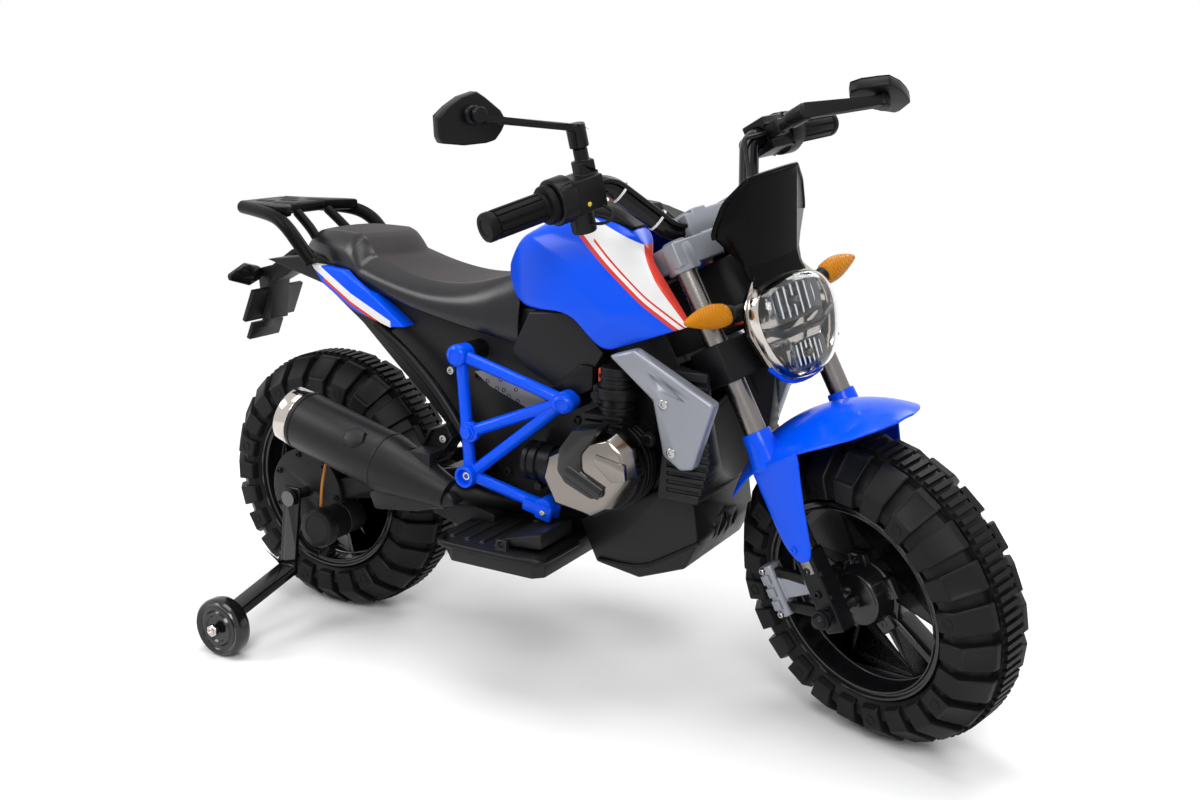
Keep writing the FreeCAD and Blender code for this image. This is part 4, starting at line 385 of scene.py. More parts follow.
def pipe(bm, spots, radius, segments=16, flat=1.0):
    # a bar through the spots, thinned sideways by flat
    path = eased([Vector(spot) for spot in spots])
    rings = []
    for index, spot in enumerate(path):
        run = path[min(index + 1, len(path) - 1)] - path[max(index - 1, 0)]
        made = bmesh.ops.create_circle(bm, segments=segments, radius=radius * mm,
                                       matrix=aimed(spot, run) @ Matrix.Diagonal((flat, 1, 1, 1)))
        rings.append(list({edge for vert in made["verts"] for edge in vert.link_edges}))
    for first, last in zip(rings, rings[1:]):
        bmesh.ops.bridge_loops(bm, edges=first + last)
    bmesh.ops.holes_fill(bm, edges=rings[0] + rings[-1])


# a hollow in a slab's far face: the width of its rim and of its slope
cupForm = {"rim": 2.5, "slope": 0.5}


def slab(bm, outline, near, far, soft=1.0, cup=0.0, plan=False):
    # an outline on the side view, or on the plan, given thickness; cup hollows its far face
    before = set(bm.faces)

    def spotOf(a, b, c):
        return Vector((a, b, c) if plan else (a, c, b)) * mm

    face = bm.faces.new([bm.verts.new(spotOf(a, b, near)) for a, b in outline])
    shift = spotOf(0, 0, far - near)
    bmesh.ops.translate(bm, vec=shift, verts=extruded(bm, face))
    faces = newFaces(bm, before)
    bmesh.ops.recalc_face_normals(bm, faces=faces)
    if cup:
        lid = max(faces, key=lambda item: item.normal.dot(shift))
        bmesh.ops.inset_region(bm, faces=[lid], thickness=cupForm["rim"] * mm)
        bmesh.ops.inset_region(bm, faces=[lid], thickness=cupForm["slope"] * mm, depth=-cup * mm)
    softEdges(bm, newFaces(bm, before), soft)


def mirrored(bm):
    # the right side repeated on the left
    geom = bm.verts[:] + bm.edges[:] + bm.faces[:]
    bmesh.ops.mirror(bm, geom=geom, matrix=Matrix(), merge_dist=-1, axis="Y")
    outward(bm)


def along(table, spot):
    # straight interpolation in a table of (place, value)
    for (x0, v0), (x1, v1) in zip(table, table[1:]):
        if x0 <= spot <= x1:
            return v0 + (v1 - v0) * (spot - x0) / (x1 - x0)
    return table[0][1] if spot < table[0][0] else table[-1][1]


makers = {"spins": spunAt, "bolts": bolt, "bands": ringBand, "rods": rodBetween, "hexes": hexNut, "blocks": block,
          "slabs": slab, "pipes": pipe}


def addTrim(name, finish, node, form, place=None, both=False, stands=False, sharp=40):
    # a piece from its lists of simple shapes; both repeats them on the left, all but the middle blocks
    bm = bmesh.new()
    for kind, maker in makers.items():
        for settings in form.get(kind, ()):
            maker(bm, *settings)
    if both:
        mirrored(bm)
    for settings in form.get("middle", ()):
        block(bm, *settings)
    addPiece(name, bm, finish, node, stands, place, sharp)


# tyres: a spun carcass, stepped shoulder blocks and close ribs round the middle
tyreForm = {
    "carcass": [(113.5, 38), (121, 45.5), (131, 47.5), (148, 36), (158.5, 23), (158.5, 17.5), (160.5, 17.3),
                (160.5, 15.5), (165, 15), (165.5, 8)],
    "steps": 144, "ribs": 104, "ribHalf": 13.5, "ribFace": 5.2, "ribLow": 163, "ribHigh": 169.8,
    "shoulder": [(116, 43), (119, 51.5), (143, 51.5), (166.5, 26.5), (166.5, 18), (150, 18)],
    "blocks": 24, "halfAngle": 5.1, "round": 1.3, "sharp": 0.5, "slope": (0.2, 0.9), "stepIn": 5, "stepDeep": 2.2,
    "dimple": [(6, -1), (6, 0.5), (4.6, 0.5), (4.2, -0.4), (0, -0.4)], "dimpleAt": (132, 51.5), "dimpleSteps": 14,
}


def turnAxle(bm, angle, verts):
    bmesh.ops.rotate(bm, cent=(0, 0, 0), matrix=Matrix.Rotation(angle, 3, "Y"), verts=verts)


def shoulderBlock(bm, side, angle, stepped):
    form = tyreForm
    before = set(bm.faces)
    half = math.radians(form["halfAngle"])
    verts = [bm.verts.new(Vector((radius, side * y, 0)) * mm) for radius, y in form["shoulder"]]
    turnAxle(bm, -half, verts)
    turnAxle(bm, 2 * half, extruded(bm, bm.faces.new(verts)))
    faces = newFaces(bm, before)
    bmesh.ops.recalc_face_normals(bm, faces=faces)
    if stepped:
        low, high = form["slope"]
        slopes = [face for face in faces if low < face.normal.y * side < high]
        outer = max(slopes, key=lambda face: face.calc_center_median().length)
        bmesh.ops.inset_region(bm, faces=[outer], thickness=form["stepIn"] * mm, depth=-form["stepDeep"] * mm)
    softEdges(bm, newFaces(bm, before), form["round"], 1, form["sharp"])
    turnAxle(bm, angle, list({vert for face in newFaces(bm, before) for vert in face.verts}))


def buildTyre(name, node, place):
    form = tyreForm
    bm = bmesh.new()
    ring = form["carcass"] + [(radius, -y) for radius, y in reversed(form["carcass"])]
    spun(bm, ring, steps=form["steps"], closed=True, axis=toLeft)
    radius, out = form["dimpleAt"]
    for side, shift in ((-1, 0.0), (1, 0.5)):
        for index in range(form["blocks"]):
            angle = (index + shift) * 2 * math.pi / form["blocks"]
            shoulderBlock(bm, side, angle, index % 2 == 0)
            if index % 3 == 1:  # round dimple on the block's flank
                spot = Matrix.Rotation(angle, 4, "Y") @ moved(radius, side * out, 0) @ turned("X", -90 * side)
                spun(bm, form["dimple"], spot, form["dimpleSteps"])
    half, wide = form["ribFace"] / 2, form["ribHalf"]
    for turn in turns("Y", form["ribs"]):
        block(bm, (form["ribLow"], -wide, -half), (form["ribHigh"], wide, half), place=turn)
    addPiece(name, bm, tyreRubber, node, True, place, sharp=30)


buildTyre("frontTyreTread", "front_tyre", frontHub)
buildTyre("rearTyreTread", "rear_tyre", rearHub)
print("tyres built")

# mirrors: glass set into the face that looks back
glassForm = {"rim": 3.5, "sink": 1.2, "back": -0.3}


def setGlass(bm):
    face = max(bm.faces, key=lambda item: item.calc_area() * (item.normal.x < glassForm["back"]))
    bmesh.ops.inset_region(bm, faces=[face], thickness=glassForm["rim"] * mm, depth=-glassForm["sink"] * mm)
    face.material_index = 1


# side frames: painted tubes on black posts
postForm = {"outer": 90, "near": 0.000001}


def darkenPosts(bm):
    for side in (-1, 1):
        bmesh.ops.bisect_plane(bm, geom=bm.verts[:] + bm.edges[:] + bm.faces[:], dist=postForm["near"],
                               plane_co=(0, side * postForm["outer"] * mm, 0), plane_no=toLeft)
    for face in bm.faces:
        face.material_index = int(abs(face.calc_center_median().y) < postForm["outer"] * mm)


# shrouds: a pocket sunk into each outer face
pocketForm = {"outline": [(144, 395), (170, 384), (188, 369), (156, 377)], "rim": 2.5, "sink": 4.5, "near": 0.000001}


def sinkPocket(bm):
    spots = [Vector((x * mm, 0, z * mm)) for x, z in pocketForm["outline"]]
    middle = sum(spots, Vector()) / len(spots)
    for side in (-1, 1):
        bm.faces.ensure_lookup_table()
        index = BVHTree.FromBMesh(bm).ray_cast(middle + Vector((0, side, 0)), Vector((0, -side, 0)))[2]
        pieces = [bm.faces[index]]
        for first, last in zip(spots, spots[1:] + spots[:1]):
            across = (last - first).cross(Vector(toLeft))
            geom = list({part for item in pieces for part in [item, *item.edges, *item.verts]})
            known = set(bm.faces) - set(pieces)
            bmesh.ops.bisect_plane(bm, geom=geom, plane_co=first, plane_no=across, dist=pocketForm["near"])
            pieces = newFaces(bm, known)
        floor = min(pieces, key=lambda item: (item.calc_center_median().xz - middle.xz).length)
        bmesh.ops.inset_region(bm, faces=[floor], thickness=pocketForm["rim"] * mm, depth=-pocketForm["sink"] * mm)


copyForm = {"merge": 0.00002, "flat": 1.0, "sharp": 25, "shade": 40}


def softCopy(node, materials, width, steps=2, change=None):
    # the node's own form with its edges rounded
    bm = bmesh.new()
    bm.from_mesh(nodes[node].data)
    for face in bm.faces:
        face.material_index = 0
    bmesh.ops.remove_doubles(bm, verts=bm.verts, dist=copyForm["merge"])
    bmesh.ops.dissolve_limit(bm, angle_limit=math.radians(copyForm["flat"]), verts=bm.verts, edges=bm.edges)
    if width:
        sharp = math.radians(copyForm["sharp"])
        edges = [edge for edge in bm.edges if edge.is_manifold and edge.calc_face_angle(0.0) > sharp]
        roundEdges(bm, edges, width, steps, clamp=False, slide=True)
    if change:
        change(bm)
    name = "".join(word.capitalize() for word in node.split("_")) + "Soft"
    addPiece(name, bm, materials, node, True, sharp=copyForm["shade"])


# nodes whose form is right, with rounded edges: finish, edge width, steps and a change
softened = [
    ("front_rim rear_rim", wheelBlack, 1.6), ("axle_lugs", switchBlack, 2.6, 3), ("brake_caliper", silverPaint, 2.4, 3),
    ("steering_stem", switchBlack, 2.0), ("upper_clamp", silverPaint, 1.6), ("rear_signals", smokedLens, 1.6, 3),
    ("throttle_housing left_housing", switchBlack, 1.8, 3), ("mirror_arm_right mirror_arm_left", switchBlack, 1.2),
    ("body_shell_right body_shell_left foot_pedal gearbox_case drive_motor", bodyBlack, 1.2),
    ("radiator", bodyBlack, 0.8, 1), ("belly_pan", bodyBlack, 3.0, 3), ("side_covers", bodyBlack, 2.4, 3),
    ("footboards tank_top_cover", bodyBlack, 1.4), ("muffler", bodyBlack, 1.2, 3), ("swingarm", bodyBlack, 1.5),
    ("plate_bracket", bodyBlack, 0.9), ("engine_cylinders", switchBlack, 1.0), ("muffler_tip", chromePlate, 1.2),
    ("training_stays", glossBlack, 2.2, 3), ("tail_panels", tailPaint, 2.2, 3),
    ("mirror_head_right mirror_head_left", [switchBlack, mirrorGlass], 2.2, 3, setGlass),
    ("trellis_frame_right trellis_frame_left", [bluePaint, switchBlack], 0.9, 2, darkenPosts),
    ("radiator_shrouds", silverPaint, 4.0, 3, sinkPocket),
]
for names, *settings in softened:
    for node in names.split():
        softCopy(node, *settings)
    print("edges rounded:", names)

# nodes that stay as they are, with their finishes
plain = {
    "fork_tubes": forkSteel, "front_axle": darkSteel, "rear_axle": darkSteel, "handlebar": glossBlack,
    "battery": switchBlack, "control_box": switchBlack, "motor_pinion": darkSteel, "final_gear": nylonWhite,
    "headlight_bucket": chromePlate, "headlight_reflector": chromePlate, "power_button": redPlastic,
}
for node, finish in plain.items():
    for index in range(len(nodes[node].data.materials)):
        nodes[node].data.materials[index] = finish

# tank: each side lofted from its side line, its plan and its section; dark strips beside the top cover
tankForm = {
    "top": [(-64, 481), (-53, 498), (-40, 514), (-9, 539.5), (46, 556), (82, 546), (100, 534), (114, 523), (128, 509),
            (136, 500), (178, 444)],
    "low": [(-64, 478), (-60, 460), (-37, 441), (-18, 440), (42, 445), (46.4, 438), (77.6, 404), (111, 416),
            (178, 442)],
    "plan": [(-64, 57), (-40, 76), (1, 92), (81, 106), (134, 104), (178, 92)],
    "crown": [(0, 558), (44.5, 553), (80.6, 530), (100.7, 490), (106, 450)], "crownShares": (0, 0.25, 0.5, 0.75, 0.92),
    "flank": [(404, 95.4), (450, 106), (490, 100.7), (530, 80.6), (553, 44.5), (558, 27)],
    "flankShares": (0.05, 0.35, 0.7, 1.0), "spine": [(-64, 38), (108, 38), (120, 60), (130, 82), (178, 85)],
    "stations": [-63, -56, -44, -25, 0, 25, 46, 62, 80, 98, 108, 120, 130, 142, 154, 166, 177],
    "levels": 2, "wall": 3.0, "bandOuter": [(-40, 38), (0, 48), (46, 60), (100, 71)], "bandInner": 25,
    "bandProud": 1.4, "bandShares": (0, 0.2, 0.4, 0.6, 0.8, 1),
}


def tankRow(x):
    form = tankForm
    top, low, wide, spine = [along(form[key], x) for key in ("top", "low", "plan", "spine")]

    def crownAt(y):
        return max(low, min(top, along(form["crown"], y)))

    sides = [spine + share * (wide - spine) for share in form["crownShares"]]
    row = [(y, crownAt(y)) for y in sides]
    edge = crownAt(wide)
    heights = [edge + share * (low - edge) for share in form["flankShares"]]
    row += [(min(wide, along(form["flank"], z)), z) for z in heights]
    return [(x * mm, -y * mm, z * mm) for y, z in row]


def buildTank():
    form = tankForm
    bm = bmesh.new()
    loft(bm, [tankRow(x) for x in form["stations"]])
    mirrored(bm)
    addPiece("tankPanels", bm, tankPaint, "tank_shells", True, sharp=180, levels=form["levels"], wall=form["wall"])
    bm = bmesh.new()
    outer, inner = form["bandOuter"], form["bandInner"]
    first, last = outer[0][0], outer[-1][0]
    rows = []
    for x in [first, *[x for x in form["stations"] if first < x < last], last]:
        sides = [inner + share * (along(outer, x) - inner) for share in form["bandShares"]]
        heights = [min(along(form["top"], x), along(form["crown"], y)) + form["bandProud"] for y in sides]
        rows.append([Vector((x, -y, z)) * mm for y, z in zip(sides, heights)])
    loft(bm, rows)
    mirrored(bm)
    addPiece("tankTopStrips", bm, rackBlack, "tank_top_cover", sharp=60, wall=form["wall"])


buildTank()

# seat: one moulding with a grained top, glossy flanks and a raised hump behind; section as shares of width and drop
seatForm = {
    "top": [(-380, 479), (-372, 496), (-352, 503), (-330, 504), (-292, 502), (-280, 496), (-268, 477), (-230, 466),
            (-190, 458), (-150, 455), (-110, 459), (-75, 470), (-47, 478), (-40, 470)],
    "low": [(-380, 476), (-345, 464), (-181, 421), (-40, 394)],
    "plan": [(-380, 37), (-339, 59), (-266, 76), (-166, 82), (-87, 80), (-40, 71)],
    "section": [(0, 0), (0.35, 0.004), (0.66, 0.03), (0.72, 0.07), (0.93, 0.34), (1, 0.66), (0.97, 1)],
    "stations": [-379, -374, -364, -345, -315, -292, -284, -276, -268, -250, -220, -185, -150, -115, -85, -62, -49,
                 -43],
    "bow": [(-345, 0), (-315, 0.5), (-292, 1), (-268, 1), (-250, 0.8), (-220, 0.35), (-185, 0)], "bowReach": 40,
    "bowWide": 0.74, "topShare": 0.67, "levels": 2, "wall": 4.0, "edgeCrease": 0.85,
    "creases": [(-292, 0.75), (-284, 0.9), (-268, 0.85)],
}


def seatRow(x):
    form = seatForm
    top, low, wide, bow = [along(form[key], x) for key in ("top", "low", "plan", "bow")]
    half = [(out * wide, top - down * (top - low)) for out, down in form["section"]]
    row = []
    for y, z in [(-y, z) for y, z in reversed(half)] + half[1:]:
        ahead = max(0.0, 1 - (y / (form["bowWide"] * wide)) ** 2) * form["bowReach"] * bow
        row.append(((x + ahead) * mm, y * mm, z * mm))
    return row


def buildSeat():
    form = seatForm
    bm = bmesh.new()
    crease = bm.edges.layers.float.new("crease_edge")
    chains = loft(bm, [seatRow(x) for x in form["stations"]])
    outward(bm)
    for spot, strength in form["creases"]:
        for edge in chains[form["stations"].index(spot)]:
            edge[crease] = strength
    for face in bm.faces:
        middle = face.calc_center_median()
        wide = along(form["plan"], middle.x / mm) * mm
        face.material_index = 0 if abs(middle.y) < form["topShare"] * wide else 1
    for edge in bm.edges:
        if len({face.material_index for face in edge.link_faces}) == 2:
            edge[crease] = form["edgeCrease"]
    addPiece("seatMoulding", bm, [seatTop, seatSide], "seat", True, sharp=180, levels=form["levels"], wall=form["wall"])


buildSeat()
print("tank and seat built")

# front fender, in the front wheel's frame: a domed hood, and legs as rows of height, back and front
fenderForm = {
    "radius": 190, "dome": 34, "half": 82, "centre": (20.8, 12), "aim": 20, "wall": 3.0, "levels": 2,
    "outline": [(-109, 82), (-28, 82), (-15, 80), (-5, 76), (21, 69), (46.5, 55), (64.5, 35), (71, 22), (74.5, 10)],
    "stations": [-109, -100, -80, -60, -40, -20, 0, 21, 36, 48, 58, 65, 70, 73, 74.6],
    "shares": [-1, -0.93, -0.8, -0.6, -0.35, 0, 0.35, 0.6, 0.8, 0.93, 1],
    "legs": [(170, -17, 58), (160, -17, 56), (146, -17, 49), (115, -17, 36), (86, -17, 26), (70, -12, 20),
             (60, -4, 13)],
    "legOuter": 82, "legCheek": 81, "legEdge": 78.5, "cheekIn": 3, "middle": 40,
}


def fenderRow(spot):
    form = fenderForm
    aim = math.radians(form["aim"])
    ahead, up = Vector((math.cos(aim), 0, -math.sin(aim))), Vector((math.sin(aim), 0, math.cos(aim)))
    centre = Vector((form["centre"][0], 0, form["centre"][1]))
    row = []
    for share in form["shares"]:
        y = share * along(form["outline"], spot)
        radius = form["radius"] - form["dome"] * (y / form["half"]) ** 2
        height = centre.dot(up) + math.sqrt(radius ** 2 - (spot - centre.dot(ahead)) ** 2)
        row.append((ahead * spot + up * height + Vector((0, y, 0))) * mm)
    return row


def legRow(side, z, back, front):
    form = fenderForm
    edge, cheek, inset = form["legEdge"], form["legCheek"], form["cheekIn"]
    spots = [(back, edge), (back + inset, cheek), ((back + front) / 2, form["legOuter"]), (front - inset, cheek),
             (front, edge)]
    return [Vector((x, side * y, z)) * mm for x, y in spots]


def buildFender():
    form = fenderForm
    bm = bmesh.new()
    loft(bm, [fenderRow(spot) for spot in form["stations"]])
    for side in (-1, 1):
        loft(bm, [legRow(side, *leg) for leg in form["legs"]])
    outward(bm)
    for face in bm.faces:  # every outer face looks away from the wheel's middle
        if face.normal.dot(face.calc_center_median() - Vector((0, 0, form["middle"] * mm))) < 0:
            face.normal_flip()
    addPiece("frontFenderHood", bm, bluePaint, "front_fender", True, frontHub, sharp=180, levels=form["levels"],
             wall=form["wall"])


buildFender()
collarForm = {  # where the fork tubes pass through, and a screw in each leg
    "spins": [([(12.8, 202), (14.6, 202), (15.4, 200), (16, 184), (19, 166), (17, 162), (12.8, 164)],
               (0, -frontEnd["spread"], 0), toUp, 48, True)],
    "bolts": [((-1, -82, 76), toRight, 4, 1.6)],
}
addTrim("frontFenderCollars", bluePaint, "front_fender", collarForm, frontHub, both=True, sharp=35)

# windshield, in its own leaning frame on the fork: outline as height and half width
screenForm = {
    "place": steered @ moved(67, 0, 350) @ turned("Y", 32),
    "outline": [(-15, 37), (-4, 40), (8, 44), (20, 50), (30, 58), (40, 66), (46, 67), (60, 62), (72, 58), (78, 54),
                (88, 44), (95, 38), (98, 34)],
    "fold": 34, "shares": (0, 0.35, 0.7), "foldShare": 0.9, "flat": -2.5, "edge": -23, "edgeAt": 69, "tuck": 0.022,
    "tuckFrom": 10, "wall": 3.6, "crisp": 14, "lip": 2.4, "lipFrom": 30, "lipBack": 1.5, "lipSegments": 10,
    "strut": ((-8, 28, 36), (-42, 28, 16)), "strutRadius": 5,
}


def screenSpot(y, height):
    form = screenForm
    fold, flat = form["fold"], form["flat"]
    out = max(0.0, abs(y) - fold)
    back = flat * min(1, abs(y) / fold) ** 2 + out * (form["edge"] - flat) / (form["edgeAt"] - fold)
    return Vector((back + form["tuck"] * max(0.0, form["tuckFrom"] - height) ** 2, y, height))


def buildScreen():
    form = screenForm
    bm = bmesh.new()
    rows = []
    for height, wide in form["outline"]:
        half = [form["fold"] * share for share in form["shares"]] + [min(form["fold"], form["foldShare"] * wide), wide]
        rows.append([screenSpot(y, height) * mm for y in [-y for y in reversed(half)] + half[1:]])
    loft(bm, rows)
    outward(bm)
    for face in bm.faces:
        if face.normal.x < 0:
            face.normal_flip()
    addPiece("windshieldPanel", bm, screenBlack, "windshield", True, form["place"], form["crisp"], wall=form["wall"])
    bm = bmesh.new()
    top = [(height, wide) for height, wide in form["outline"] if height > form["lipFrom"]]
    rim = [(-wide, height) for height, wide in top] + [(wide, height) for height, wide in reversed(top)]
    back = Vector((form["lipBack"], 0, 0))
    pipe(bm, [screenSpot(y, height) - back for y, height in rim], form["lip"], form["lipSegments"])
    for side in (-1, 1):  # struts back to the clamp
        rodBetween(bm, *[(x, side * y, z) for x, y, z in form["strut"]], form["strutRadius"])
    addPiece("windshieldLip", bm, screenBlack, "windshield", place=form["place"])


buildScreen()

# headlight: clear dome, two lamp bowls with ribbed faces, a dark bar between them and a painted edge below
lightForm = {
    "place": steered @ moved(42, 0, 229) @ turned("Y", 11.6), "wide": 61, "tall": 121,
    "half": [(0.40, 0.02), (0.76, 0.22), (1, 0.54), (0.95, 0.79), (0.64, 0.96)],  # shares of width and height
    "dome": [(0.3, 1), (14, 0.955), (22, 0.84), (28, 0.68), (31, 0.46), (31.8, 0.2)], "plated": 14, "levels": 2,
    "wall": 2.4, "bowls": [(63, 108, 41), (13, 47, 28)],  # low, high and half width
    "bowl": [(14, 1.0), (15.5, 0.96), (14, 0.92), (3, 0.62), (1, 0.3)], "bowlSteps": 24, "square": 0.8, "fill": 0.86,
    "ribs": range(-3, 4), "ribPitch": 0.24, "ribHalf": 1.5, "ribDepth": (2.5, 11), "ribTall": 0.8, "ribWide": 0.9,
    "ribRound": 1.0, "bulb": [(0, 17), (2.6, 16.4), (4.4, 14), (4.8, 9), (6.5, 6), (6.5, 3)], "bulbSteps": 20,
    "bar": [(-48, 66), (-24, 55), (24, 55), (48, 66)], "barDepth": [(4, -3), (16, -3), (18, 0), (16, 3), (4, 3)],
    "barWall": 1.0, "rim": 2.4, "rimBack": -1, "rimSegments": 12,
}


def lightRing(depth, scale):
    wide, tall = lightForm["wide"], lightForm["tall"]
    half = [(u * scale * wide, (0.5 + (v - 0.5) * scale) * tall) for u, v in lightForm["half"]]
    return [Vector((depth, y, z)) * mm for y, z in half + [(-y, z) for y, z in reversed(half)]]


def bowlRing(depth, scale, middle, tall, wide):
    # a ring between round and square
    ring = []
    for turn in range(lightForm["bowlSteps"]):
        angle = 2 * math.pi * turn / lightForm["bowlSteps"]
        c, s = math.cos(angle), math.sin(angle)
        reach = scale * lightForm["fill"] / max(abs(c), abs(s)) ** lightForm["square"]
        ring.append(Vector((depth, wide * reach * c, middle + tall * reach * s)) * mm)
    return ring


def buildHeadlight():
    form = lightForm
    place = form["place"]
    bm = bmesh.new()
    chains = loft(bm, [lightRing(depth, scale) for depth, scale in form["dome"]], closed=True)
    bmesh.ops.contextual_create(bm, geom=chains[-1])
    outward(bm)
    if sum(face.normal.x for face in bm.faces) < 0:
        bmesh.ops.reverse_faces(bm, faces=bm.faces[:])
    for face in bm.faces:
        face.material_index = int(face.calc_center_median().x < form["plated"] * mm)
    addPiece("headlightDome", bm, [lensClear, chromePlate], "headlight_lens", True, place, sharp=180,
             levels=form["levels"], wall=form["wall"])
    bm = bmesh.new()
    ribs = bmesh.new()
    near, far = form["ribDepth"]
    for low, high, wide in form["bowls"]:
        middle, tall = (low + high) / 2, (high - low) / 2
        chains = loft(bm, [bowlRing(depth, scale, middle, tall, wide) for depth, scale in form["bowl"]], closed=True)
        bmesh.ops.contextual_create(bm, geom=chains[-1])
        for index in form["ribs"]:  # upright ribs across the bowl
            y, half = index * wide * form["ribPitch"], form["ribHalf"]
            reach = tall * form["ribTall"] * math.sqrt(max(0.0, 1 - (y / (form["ribWide"] * wide)) ** 2))
            block(ribs, (near, y - half, middle - reach), (far, y + half, middle + reach), form["ribRound"])
        spun(bm, form["bulb"], moved(0, 0, middle) @ turned("Y", 90), form["bulbSteps"])
    outward(bm)
    addPiece("headlightBowls", bm, darkSteel, "headlight_reflector", place=place)
    addPiece("headlightRibs", ribs, mirrorGlass, "headlight_reflector", place=place)
    bm = bmesh.new()
    loft(bm, [[Vector((x, y, z + lift)) * mm for y, z in form["bar"]] for x, lift in form["barDepth"]])
    outward(bm)
    addPiece("headlightBar", bm, glossBlack, "headlight_bucket", place=place, sharp=40, wall=form["barWall"])
    bm = bmesh.new()
    half = [(form["rimBack"], u * form["wide"], v * form["tall"]) for u, v in form["half"][:2]]
    pipe(bm, [(x, -y, z) for x, y, z in reversed(half)] + half, form["rim"], form["rimSegments"])
    addPiece("headlightRim", bm, bluePaint, "headlight_bucket", place=place)


buildHeadlight()
print("fender, windshield and headlight built")

# grips: a spun sleeve with long raised panels, on a frame that runs out along the bar
gripLine = {"bend": (-2, 105, 496), "end": (-18, 250, 491)}
gripForm = {
    "spins": [([(11.4, 71.2), (19.4, 71.2), (20, 72), (20, 77.5), (19, 79), (14.4, 80.5), (13.7, 83), (13.7, 139),
                (15, 141), (15, 147.5), (14, 149.4), (9, 149.8), (8.4, 148.8), (0, 148.8)], (0, 0, 0), toUp, 44)],
    "blocks": [((12.5, -2.9, 84), (14.9, 2.9, 138), 0.7, turn) for turn in turns("Z", 11)],
}


def gripPlace(side):
    bend, end = [Vector((x, side * y, z)) for x, y, z in gripLine.values()]
    out = (end - bend).normalized()
    ahead = (Vector((out.y, -out.x, 0)) * side).normalized()
    return steered @ moved(*bend) @ Matrix((ahead, out.cross(ahead), out)).transposed().to_4x4()


addTrim("throttleGripRubber", gripRubber, "throttle_grip", gripForm, gripPlace(-1), stands=True, sharp=35)
addTrim("leftGripRubber", gripRubber, "left_grip", gripForm, gripPlace(1), stands=True, sharp=35)

# leads: black cables and three lamp wires, which hang lowest: the first is red, the next yellow
leadFinishes = {0: 1, 1: 2}


def colourLeads(bm):
    left = set(bm.faces)
    islands = []
    while left:
        islands.append(islandOf({next(iter(left))}))
        left -= islands[-1]
    islands.sort(key=lambda faces: max(face.calc_center_median().z for face in faces))
    for index, finish in leadFinishes.items():
        for face in islands[index]:
            face.material_index = finish


softCopy("control_cables", [switchBlack, wireRed, wireYellow], 0, change=colourLeads)
print("grips and leads built")

# wheels: stepped rings on the rims, a domed hub and a bolted pad at the root of each spoke pair
rimForm = {
    "spins": [([(101.5, 36), (102.5, 39.5), (104, 40.2), (105.5, 38.6), (107.5, 38.6), (108.6, 41.4), (111, 41.4),
                (112.4, 37)], (0, 0, 0), toRight, 72, True),
              ([(7, 33), (7, 37.5), (15, 37.5), (17, 36), (25, 35.4), (29.5, 33), (30, 29)], (0, 0, 0), toRight, 72,
               True)],
    "blocks": [((25, -21, -12), (47, -11, 12), 3.5, turn) for turn in turns("Y", 5)],
    "bolts": [((37, -20.6, 0), toRight, 4.5, 1.2, turn) for turn in turns("Y", 5)],
}
addTrim("frontRimTrim", wheelBlack, "front_rim", rimForm, frontHub, both=True)
addTrim("rearRimTrim", wheelBlack, "rear_rim", rimForm, rearHub, both=True)

# training wheels: rounded treads with a sunk web
trainerX, trainerY, trainerZ = -376, 218, 36
trainerHalf = [(5.4, 9.5), (15, 9.5), (17, 11.6), (20.5, 11.8), (22.5, 9.2), (27, 8.6), (29, 10.8), (32.6, 11.6),
               (35, 9), (36, 5)]
trainerRing = trainerHalf + [(radius, -out) for radius, out in reversed(trainerHalf)]
for side, word in ((-1, "right"), (1, "left")):
    trainerForm = {"spins": [(trainerRing, (trainerX, side * trainerY, trainerZ), toLeft, 56, True)]}
    addTrim("trainer" + word.capitalize() + "Tread", wheelBlack, "training_wheel_" + word, trainerForm, stands=True)

# fork: silver collars and riser block on top, pinch bolts and round nuts below, arms and bolts of the caliper
tubeFoot = (frontEnd["offset"], -frontEnd["spread"], 0)
riserForm = {
    "spins": [([(11.8, 381), (17, 381), (18, 383), (18, 407), (16.5, 410), (11.8, 410)], tubeFoot, toUp, 48, True),
              ([(13.5, 409), (13.5, 413), (11, 415), (6, 415), (5.4, 413.5), (0, 413.5)], tubeFoot, toUp)],
    "bolts": [((x, -30, 437), toUp, 4.5, 3) for x in (-8, 17)], "middle": [((-13, -49, 408), (24, 49, 437), 4.0)],
}
lugForm = {
    "spins": [([(10.5, -4), (10.5, 1), (8.4, 1.6), (8, 5), (6, 8), (0, 9.4)], (frontEnd["offset"], -87, 0), toRight,
               24)],
    "bolts": [((frontEnd["offset"], -76.6, height), toRight, 4.4, 2.8) for height in (24, 50)],
    "rods": [((-6, -72, height), (28, -72, height), 4) for height in (18, 44)],
}
armForm = {"slabs": [([(-50, 60), (-50, 50), (-8, 33), (-8, 46)], -62, -71, 2.0),
                     ([(-50, 20), (-50, 9), (-8, -4), (-8, 10)], -62, -71, 2.0)]}
padForm = {"blocks": [((-61, -80.5, height), (-49, -77, height + 11), 1.2) for height in (15, 29.5, 44)]}
caliperForm = {"bolts": [((-55, -78.3, height), toRight, 3.6, 3) for height in (10, 60)]}
addTrim("upperClampRisers", silverPaint, "upper_clamp", riserForm, steered, both=True)
addTrim("axleLugTrim", switchBlack, "axle_lugs", lugForm, steered, both=True)
addTrim("caliperArms", switchBlack, "axle_lugs", armForm, steered)
addTrim("caliperPads", silverPaint, "brake_caliper", padForm, steered)
addTrim("caliperBolts", boltSteel, "brake_caliper", caliperForm, steered)

